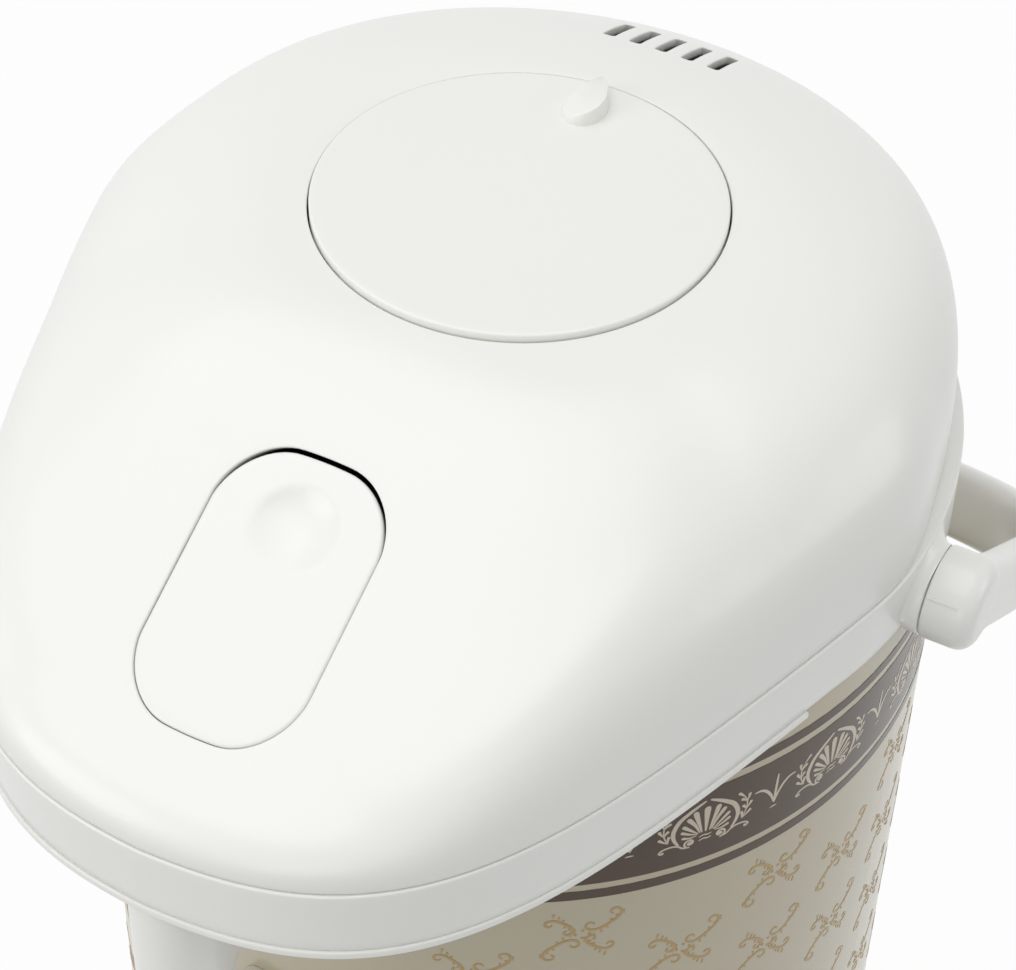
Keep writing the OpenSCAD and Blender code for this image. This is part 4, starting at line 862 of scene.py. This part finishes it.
def handle():
    # a path of (x, y, heading) from the right pivot along the arm and round the corner to the crossbar
    b = bail
    path = [(b["middle"], y, 0.0) for y in (0.0, 8.0, 20.0, 35.0, 50.0, 65.0)]
    straight, flat = b["reach"] - b["corner"], b["middle"] - b["corner"]
    for i in range(b["bendSteps"] + 1):
        a = pi / 2 * i / b["bendSteps"]
        path.append((flat + b["corner"] * cos(a), straight + b["corner"] * sin(a), a))
    count = 28

    def section(grow, drop):
        # a rounded bar: superellipse of thickness by width
        points = []
        power = 2 / b["roundness"]
        for i in range(count):
            c, s = cos(2 * pi * i / count), sin(2 * pi * i / count)
            points.append((b["thick"] / 2 * abs(c) ** power * (1 if c > 0 else -1),
                           b["width"] / 2 * grow * abs(s) ** power * (1 if s > 0 else -1) - drop))
        return points
    stations = path + [(x, b["reach"], pi / 2) for x in (flat * 0.6, flat * 0.2)]
    stations += [(-x, y, pi - a) for x, y, a in reversed(stations)]
    rings = []
    for x, y, a in stations:
        bar = smooth((y - straight) / b["corner"])
        eye = smooth(1 - y / b["eyeReach"])
        grow = 1.0 + (b["eyeWide"] - 1.0) * eye + (b["barWide"] - 1.0) * bar
        rings.append([(x + u * cos(a), y + u * sin(a), w) for u, w in section(grow, b["barDrop"] * bar)])
    skin = Skin()
    skin.tube(rings)
    k, soft, full = b["knuckle"], b["knuckleSoft"], b["knuckleRound"]
    profile = ([(0, b["knuckleIn"]), (k - 0.9, b["knuckleIn"])]
               + arc((k - soft, b["knuckleIn"] + soft), soft, -60, 0, 3)
               + arc((k - full, b["knuckleOut"] - full), full, 0, 80, 8)
               + [(k - 6, b["knuckleOut"]), (0, b["knuckleOut"])])
    knuckle = turned(profile, 72, "x")
    # the mould's parting line stands up a little along the rim
    line = b["ridge"]
    knuckle.add(block((b["knuckleIn"] + b["ridgeStart"], -k - line, -line),
                      (b["knuckleOut"] - b["ridgeEnd"], -k + b["ridgeDeep"], line)))
    for side in (1, -1):
        skin.add(knuckle, None if side > 0 else Matrix.Rotation(pi, 4, "Z"))
    whole = Skin()
    whole.add(skin, Matrix.Translation((0, 0, pivotZ)) @ Matrix.Rotation(radians(-b["droop"]), 4, "X"))
    return whole


makePiece("carryHandle", handle(), "bail", "white_plastic", ["handle"])


# spout housing and nose cover

spout = dict(radius=9.4, y=-142.5, drop=39.0, wall=1.8, foot=2.6, rearShift=9.0, nozzle=5.5, nozzleGap=0.6,
             rows=(8, 16, 26), innerRound=2.2, rearRise=0.55,
             coverThick=2.0, coverEdge=0.45, coverEnd=41.8, coverGap=0.3)
noseZ = shoulderZ - spout["coverThick"]


def stadium(radius, length, count=48):
    # a capsule seen from above: round at the front, reaching back by length
    loop = []
    for i in range(count):
        a = -pi + 2 * pi * i / count
        x, y = radius * cos(a), radius * sin(a)
        loop.append((x, y + (length if y > 1e-6 else 0.0)))
    return loop


def spoutHousing():
    # a hanging shell whose rear slopes up towards the body; its foot is rounded like an egg's end
    s = spout
    skin = Skin()
    foot = noseZ - s["drop"]

    def level(radius, z, pull):
        # the shape's outline at a height, pulled in by the foot's rounding
        rear = s["rearShift"] * min(1.0, max(0.0, (z - foot) / (s["drop"] * s["rearRise"])))
        return [(x, y + s["y"], z) for x, y in stadium(radius - pull, rear)]
    # inner wall from the nozzle hole upwards, then the outer wall down to the hole again
    hole, inner, inFloor = s["nozzle"] + s["nozzleGap"], s["radius"] - s["wall"], foot + s["wall"]
    rows = [foot + h for h in s["rows"]]
    rings = [level(hole, inFloor, 0.0)]
    for z in (inFloor + 0.6, inFloor + s["innerRound"], *rows, noseZ):
        grow = min(1.0, (z - inFloor) / s["innerRound"])
        rings.append(level(hole + (inner - hole) * sqrt(max(0.0, 1 - (1 - grow) ** 2)), z, 0.0))
    for z in (noseZ, *reversed(rows), foot + s["foot"]):
        rings.append(level(s["radius"], z, 0.0))
    for k in range(1, 8):
        turn = radians(90 * k / 7)
        rings.append(level(s["radius"], foot + s["foot"] * (1 - sin(turn)), s["foot"] * (1 - cos(turn))))
    rings.append(level(hole, foot, 0.0))
    skin.tube(rings, wrap=True)
    return skin


def crescent():
    # the nose's outline outside the round body, counter-clockwise
    s = spout
    reach = outline["bodyRadius"] + s["coverGap"]
    front = [polar(a * 0.5, planRadius(a * 0.5) - 0.5) for a in range(-200, 201)]
    front = [p for p in front if p[1] < -s["coverEnd"]]
    rearAngle = degrees(acos(s["coverEnd"] / reach))
    rear = [polar(rearAngle * (1 - 2 * i / 90), reach) for i in range(91)]
    return front + rear


def noseCover():
    s = spout
    holes = [circle(s["nozzle"], 48, (0, s["y"]))]
    skin, _ = softPlate(crescent(), holes, lambda x, y: shoulderZ, lambda x, y: noseZ, s["coverEdge"], 3.0)
    return skin


makePiece("spoutColumn", spoutHousing(), "root", "white_plastic", ["spout_housing"])
makePiece("noseUnderside", noseCover(), "root", "white_plastic", ["nose_cover"])


# bellows and springs, in their rest shape

bellows = dict(depth=5.0, wall=0.9, cuff=1.0, folds=7, foldSteps=12, headroom=0.12)
# faceGap is from the spring's box to the face that stays, slack what the room is longer than the box
springs = dict(pump_spring=dict(radius=23.0, wire=0.8, turns=7.5, startGap=0.1, endGap=0.2, faceGap=0.11),
               latch_spring=dict(radius=1.9, wire=0.3, turns=5, startGap=0.1, endGap=0.0,
                                 faceGap=0.15, slack=0.2),
               button_spring=dict(radius=3.0, wire=0.32, turns=4.5, startGap=0.0, endGap=0.05,
                                  faceGap=0.05, slack=0.15))


def coilSpring(radius, wire, turns, length):
    # stands on z = 0, with a closed turn at each end
    steps, section = 24, circle(wire, 8)
    pitch = (length - 6 * wire) / (turns - 2)
    rings = []
    for k in range(round(turns * steps) + 1):
        t = k / steps
        closed = min(t, 1.0) + max(0.0, t - turns + 1)
        rise = wire + 2 * wire * closed + pitch * min(max(t - 1, 0.0), turns - 2)
        a = 2 * pi * t
        rings.append([((radius + x) * cos(a), (radius + x) * sin(a), rise + z) for x, z in section])
    skin = Skin()
    skin.tube(rings)
    return skin


def springBetween(node, room, place):
    # fills a room of that height over z = 0, but for its gaps, and is then put in its place
    s = springs[node]
    coil = coilSpring(s["radius"], s["wire"], s["turns"], room - s["startGap"] - s["endGap"])
    skin = Skin()
    skin.add(coil, place @ Matrix.Translation((0, 0, s["startGap"])))
    return skin


def lyingSpring(node):
    # along y, from the rear of its node's box to the front
    low, high = boxOf(node)
    place = Matrix.Translation((0, high.y, (low.z + high.z) / 2)) @ Matrix.Rotation(pi / 2, 4, "X")
    return springBetween(node, high.y - low.y, place)


def foldedBellows():
    b = bellows
    low, high = boxOf("bellows")
    neck, top = high.x - b["depth"], high.z - b["headroom"]
    start, end = low.z + b["cuff"], top - b["cuff"]
    count = b["folds"] * b["foldSteps"]
    outer = [(neck, low.z)]
    for k in range(count + 1):
        inwards = 0.5 + 0.5 * cos(2 * pi * k / b["foldSteps"])
        outer.append((high.x - b["depth"] * inwards, start + (end - start) * k / count))
    outer.append((neck, top))
    return turned(outer + [(r - b["wall"], z) for r, z in reversed(outer)], 128)


def flattened(name, node, body, skin, joint, deep):
    # deep is the room it has at rest; the share of it left after the joint's travel is worked out but not used
    slotName = next(part["material_slot"] for part in frame["record"]["subparts"] if part["node"] == node)
    travel = next(j["range_m"][1] for j in frame["joints"] if j["name"] == joint) / mm
    piece = makePiece(name, skin, body, slotName, [node])
    1 - travel / deep
    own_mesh(piece)


low, high = boxOf("bellows")
flattened("foldedBellows", "bellows", "lid", foldedBellows(), "pump_press",
          high.z - low.z)
plugFloor = boxOf("pump_spring")[0].z - springs["pump_spring"]["faceGap"]
pumpRoom = high.z - plugFloor
flattened("pumpSpring", "pump_spring", "lid",
          springBetween("pump_spring", pumpRoom, Matrix.Translation((0, 0, plugFloor))), "pump_press",
          pumpRoom)

# the latch spring and the button spring, each lying along y in its box
for name, node, body, joint, front in (("latchSpring", "latch_spring", "lid", "latch_travel", True),
                                       ("buttonSpring", "button_spring", "root", "reboil_press", False)):
    low, high = boxOf(node)
    s = springs[node]
    flattened(name, node, body, lyingSpring(node), joint,
              high.y - low.y + s["slack"])


# printed bands and ornament

# firstPalmette, firstScroll and panelHalf are degrees around the body, counted from the nose
printed = dict(radius=100.0, lift=0.07, depth=0.03, inkDepth=0.02, line=2.9, lineLow=187.0, bandLow=191.96,
               bandHigh=215.1, lineHigh=217.4, palmettes=18, firstPalmette=52.9, scrolls=13,
               scrollRow=13.4, firstRow=12.5, firstScroll=37.6, rows=10, panelTop=150.0, panelHalf=12.0)


def printedRing(low, high):
    back, front = printed["radius"] - printed["depth"], printed["radius"] + printed["lift"]
    return turned([(back, low), (front, low), (front, high), (back, high)], 360)


for name, low, high in (("lowerLine", printed["lineLow"], printed["lineLow"] + printed["line"]),
                        ("ornamentBand", printed["bandLow"], printed["bandHigh"]),
                        ("upperLine", printed["lineHigh"], printed["lineHigh"] + printed["line"])):
    makePiece(name, printedRing(low, high), "root", "printed_steel", sharp=30, material=bandInk)


class Print:
    # closed thin ribbons laid on the round body; u runs along the girth, v is the height
    def __init__(self, lift):
        self.skin = Skin()
        self.out = printed["radius"] + printed["lift"] + lift
        self.back = printed["radius"] - printed["inkDepth"]

    def onBody(self, u, v, radius):
        a = u / printed["radius"]
        return radius * sin(a), -radius * cos(a), v

    def ribbon(self, points, widths):
        left, right = [], []
        for i, (x, y) in enumerate(points):
            x0, y0 = points[max(0, i - 1)]
            x1, y1 = points[min(len(points) - 1, i + 1)]
            length = hypot(x1 - x0, y1 - y0) or 1.0
            nx, ny = -(y1 - y0) / length * widths[i] / 2, (x1 - x0) / length * widths[i] / 2
            left.append((x + nx, y + ny))
            right.append((x - nx, y - ny))
        rings = [[self.onBody(*a, self.out), self.onBody(*b, self.out), self.onBody(*b, self.back),
                  self.onBody(*a, self.back)] for a, b in zip(left, right)]
        self.skin.tube(rings)

    def stroke(self, points, width, ends=0.35):
        # a line that swells in the middle and thins out at its ends
        count = len(points) - 1
        swell = [sin(pi * i / count) ** 0.6 for i in range(count + 1)]
        self.ribbon(points, [width * (ends + (1 - ends) * f) for f in swell])

    def club(self, points, width):
        # a stroke that widens towards its rounded end
        count = len(points) - 1
        widths = []
        for i in range(count + 1):
            f = i / count
            tip = sqrt(max(0.0, 1 - ((f - 0.8) / 0.2) ** 2)) if f > 0.8 else 1.0
            widths.append(max(0.08, width * (0.2 + 0.8 * f ** 1.1) * tip))
        self.ribbon(points, widths)

    def curl(self, u, v, start, turns, big, small, width):
        # a spiral around (u, v) whose radius goes from big to small
        steps = 22
        points = []
        for i in range(steps + 1):
            f = i / steps
            a, r = start + 2 * pi * turns * f, big + (small - big) * f ** 0.8
            points.append((u + r * cos(a), v + r * sin(a)))
        self.stroke(points, width, 0.6)

    def dot(self, u, v, size):
        self.ribbon([(u - size, v), (u - size * 0.6, v), (u, v), (u + size * 0.6, v), (u + size, v)],
                    [0.1, size * 1.6, size * 2, size * 1.6, 0.1])


def bend(points, steps):
    # a smooth curve through the points (Catmull-Rom), with that many steps between two of them
    ends = [points[0]] + list(points) + [points[-1]]
    curve = []
    for i in range(1, len(ends) - 2):
        p0, p1, p2, p3 = (Vector(p) for p in ends[i - 1:i + 3])
        for k in range(steps):
            t = k / steps
            curve.append(tuple(0.5 * (2 * p1 + (p2 - p0) * t + (2 * p0 - 5 * p1 + 4 * p2 - p3) * t * t
                                      + (3 * p1 - p0 - 3 * p2 + p3) * t ** 3)))
    return curve + [tuple(points[-1])]


def palmette(ink, u, v):
    # points are given for the right-hand side and mirrored to the left
    def at(side, points):
        return [(u + side * x, v + y) for x, y in points]
    ink.club(bend(at(1, [(0, -2.4), (0, 1.5), (0, 5.8)]), 10), 1.9)
    # petals as (base, middle, tip, width)
    petals = (((0.9, -2.4), (1.9, 1.4), (2.9, 5.2), 1.6), ((1.4, -2.3), (2.7, 0.7), (4.6, 3.5), 1.35),
              ((1.8, -2.5), (3.7, -0.6), (5.7, 1.4), 1.15), ((2.0, -2.7), (4.1, -1.7), (6.0, -0.5), 1.0),
              ((2.2, -3.0), (4.0, -3.1), (5.7, -2.5), 0.9))
    for side in (-1, 1):
        for base, middle, tip, width in petals:
            ink.club(bend(at(side, [base, middle, tip]), 9), width)
        ink.curl(u + side * 3.7, v - 4.8, -pi / 2, 1.35 * side, 1.5, 0.3, 0.6)
        ink.dot(u + side * 3.7, v - 4.8, 0.5)
        tendril = [(3.6, -6.2), (5.2, -5.9), (6.4, -4.9), (7.9, -4.4),
                   (9.9, -4.7), (10.8, -5.6), (10.0, -6.2)]
        ink.stroke(bend(at(side, tendril), 6), 0.5, 0.7)
        ink.dot(u + side * 10.0, v - 5.8, 0.4)
        arch = [(6.3, -4.7), (7.4, -2.6), (7.8, -0.6), (7.5, 1.3),
                (6.4, 3.5), (4.4, 5.3), (2.4, 6.7), (0.5, 7.8)]
        ink.stroke(bend(at(side, arch), 6), 1.15, 0.3)
        stem = [(8.9, -2.9), (9.9, -0.3), (10.0, 2.3), (9.3, 4.0)]
        ink.stroke(bend(at(side, stem), 5), 0.35, 0.8)
        leaves = (((8.9, -2.9), (8.7, -0.5)), ((8.9, -2.9), (11.2, -0.9)), ((9.9, -0.3), (8.9, 1.4)),
                  ((9.9, -0.3), (11.2, 1.9)), ((10.0, 2.3), (8.4, 3.7)), ((10.0, 2.3), (10.5, 4.7)),
                  ((9.3, 4.0), (7.5, 6.1)))
        for root, tip in leaves:
            middle = ((root[0] + tip[0]) / 2 + 0.12, (root[1] + tip[1]) / 2)
            ink.club(bend(at(side, [root, middle, tip]), 5), 0.95)
    for drop in (3.6, 4.8):
        wave = [(-1.5, -drop - 0.25), (-0.4, -drop + 0.15), (0.5, -drop - 0.1), (1.5, -drop + 0.1)]
        ink.stroke(bend(at(1, wave), 5), 0.42, 0.4)


def sprig(ink, u, v):
    ink.stroke(bend([(u, v - 2.9), (u + 0.2, v + 1), (u + 0.5, v + 6.3)], 8), 0.7, 0.25)
    for side in (-1, 1):
        blade = [(0, -2.9), (0.9, -0.2), (2.3, 2.1), (3.9, 3.3), (5.6, 3.4)]
        ink.stroke(bend([(u + side * x, v + y) for x, y in blade], 6), 0.75, 0.2)
    ink.stroke([(u - 1.0, v - 4.3), (u - 0.3, v - 4.15), (u + 0.3, v - 4.1), (u + 1.0, v - 4.2)], 0.5, 0.2)


def scrollGroup(ink, u, v):
    # four S-scrolls that lie in a long cross: (middle, heading in degrees, step, hand)
    steps, longStep, winding = 24, 0.40, 5.2
    scrolls = (((5.9, 2.7), 36, longStep, 1), ((-5.9, -3.3), 216, longStep, 1),
               ((-4.2, 4.3), -38, 0.32, -1), ((3.0, -4.9), 142, 0.32, -1))
    for (x0, y0), degreesUp, step, hand in scrolls:
        heading = radians(degreesUp)
        middle = (u + x0, v + y0)
        trail = [middle]
        for direction in (1, -1):
            x, y = middle
            part = []
            for i in range(1, steps + 1):
                now = heading + hand * direction * winding * (i / steps) ** 2.4
                x += direction * step * cos(now)
                y += direction * step * sin(now)
                part.append((x, y))
            trail = trail + part if direction > 0 else part[::-1] + trail
        ink.stroke(trail, 0.72, 0.5)
        for along, across in ((2.2, 1.5), (-2.2, -1.5), (0.6, 1.2), (-0.6, -1.2), (4.1, 1.7), (-4.1, -1.7)):
            along *= step / longStep
            root = (middle[0] + along * cos(heading), middle[1] + along * sin(heading))
            lean = heading + hand * (pi / 2 if across > 0 else -pi / 2) - hand * 0.5
            size = abs(across)
            reach = [size * f for f in (0.1, 0.4, 0.7, 0.9, 1.0)]
            ink.club([(root[0] + r * cos(lean), root[1] + r * sin(lean)) for r in reach], 0.75)
    for x, y in ((0, 1.3), (0, -1.3), (1.6, 0), (-1.6, 0)):
        ink.dot(u + x, v + y, 0.4)


girth = 2 * pi * printed["radius"]
band = Print(0.05)
bandMiddle = (printed["bandLow"] + printed["bandHigh"]) / 2
for i in range(printed["palmettes"]):
    u = girth * (printed["firstPalmette"] / 360 + i / printed["palmettes"])
    palmette(band, u, bandMiddle)
    sprig(band, u + girth / printed["palmettes"] / 2, bandMiddle)
makePiece("bandOrnament", band.skin, "root", "printed_steel", sharp=30, material=paleInk)

scrolls = Print(0.0)
for row in range(printed["rows"]):
    height = printed["lineLow"] - printed["firstRow"] - printed["scrollRow"] * row
    for i in range(printed["scrolls"]):
        u = girth * (printed["firstScroll"] / 360 + (i + 0.5 * (row % 2)) / printed["scrolls"])
        angle = degrees(u / printed["radius"]) % 360
        if height < printed["panelTop"] and min(angle, 360 - angle) < printed["panelHalf"]:
            continue   # the front panel is there
        scrollGroup(scrolls, u, height)
makePiece("bodyScrolls", scrolls.skin, "root", "printed_steel", sharp=30, material=tanInk)


# studio

studio = dict(floor=3.0, floorShade=0.5, whiteness=0.97, world=0.5)


def seenDirectly(shader):
    # 1 for rays straight from the camera, in reflections and through clear pieces
    rays = shader.add("LightPath")
    return (rays[0] + rays[3] + rays[6]).maths("MINIMUM", 1.0)


def floorMaterial():
    # pale floor that shows nearly white and keeps the shadow
    shader = Shader("studioFloor")
    shade = studio["floorShade"]
    diffuse = shader.add("BsdfDiffuse", None, {"Color": (shade, shade, shade)})[0]
    glow = shader.add("Emission", None, {"Color": (1, 1, 1), "Strength": 1.0})[0]
    whitened = seenDirectly(shader) * studio["whiteness"]
    mixed = shader.add("MixShader", None, {0: whitened, 1: diffuse, 2: glow})[0]
    shader.tree.links.new(mixed.socket, shader.output.inputs["Surface"])
    return shader.material


floorMesh = bpy.data.meshes.new("studioFloor")
reach = studio["floor"]
corners = [(-reach, -reach, 0), (reach, -reach, 0), (reach, reach, 0), (-reach, reach, 0)]
floorMesh.from_pydata(corners, [], [(0, 1, 2, 3)])
floor = bpy.data.objects.new("studioFloor", floorMesh)
bpy.context.scene.collection.objects.link(floor)
floorMesh.materials.append(floorMaterial())


class Sky(Shader):
    def __init__(self):
        self.world = bpy.data.worlds.new("studioSky")
        self.world.use_nodes = True
        self.tree = self.world.node_tree
        self.tree.nodes.clear()


sky = Sky()
dim = sky.add("Background", None, {"Color": (1, 1, 1), "Strength": studio["world"]})[0]
white = sky.add("Background", None, {"Color": (1, 1, 1), "Strength": 1.0})[0]
choice = sky.add("MixShader", None, {0: seenDirectly(sky), 1: dim, 2: white})[0]
sky.add("OutputWorld", None, {"Surface": choice})
bpy.context.scene.world = sky.world


def softLamp(name, place, target, size, power):
    lamp = bpy.data.lights.new(name, "AREA")
    lamp.shape, lamp.size, lamp.energy = "DISK", size, power
    holder = bpy.data.objects.new(name, lamp)
    bpy.context.scene.collection.objects.link(holder)
    holder.location = place
    holder.rotation_euler = (Vector(target) - Vector(place)).to_track_quat("-Z", "Y").to_euler()


lamps = dict(overhead=dict(place=(-0.2, -0.1, 1.9), target=(0, 0, 0.25), size=2.2, power=16.0),
             leftFront=dict(place=(-1.2, -1.5, 1.0), target=(0, 0, 0.2), size=1.4, power=9.5),
             front=dict(place=(0.5, -2.0, 0.5), target=(0, 0, 0.2), size=1.2, power=4.2),
             rightRear=dict(place=(1.9, 0.9, 0.45), target=(0, 0, 0.2), size=1.2, power=5.6))
for name, lamp in lamps.items():
    softLamp(name, **lamp)
print("lamps", len(lamps))

view = dict(place=(0.21555, -0.42305, 0.6741), turn=27.09, tip=45.97, roll=1.63, lens=100.35)
camera = bpy.data.cameras.new("camera")
camera.lens, camera.sensor_width, camera.sensor_fit = view["lens"], 36.0, "HORIZONTAL"
viewer = bpy.data.objects.new("camera", camera)
bpy.context.scene.collection.objects.link(viewer)
turn, tip, roll = (Matrix.Rotation(radians(view[key]), 4, axis)
                   for key, axis in (("turn", "Z"), ("tip", "X"), ("roll", "Z")))
viewer.matrix_world = Matrix.Translation(view["place"]) @ turn @ tip @ roll
bpy.context.scene.camera = viewer
bpy.context.scene.view_settings.view_transform = "Standard"
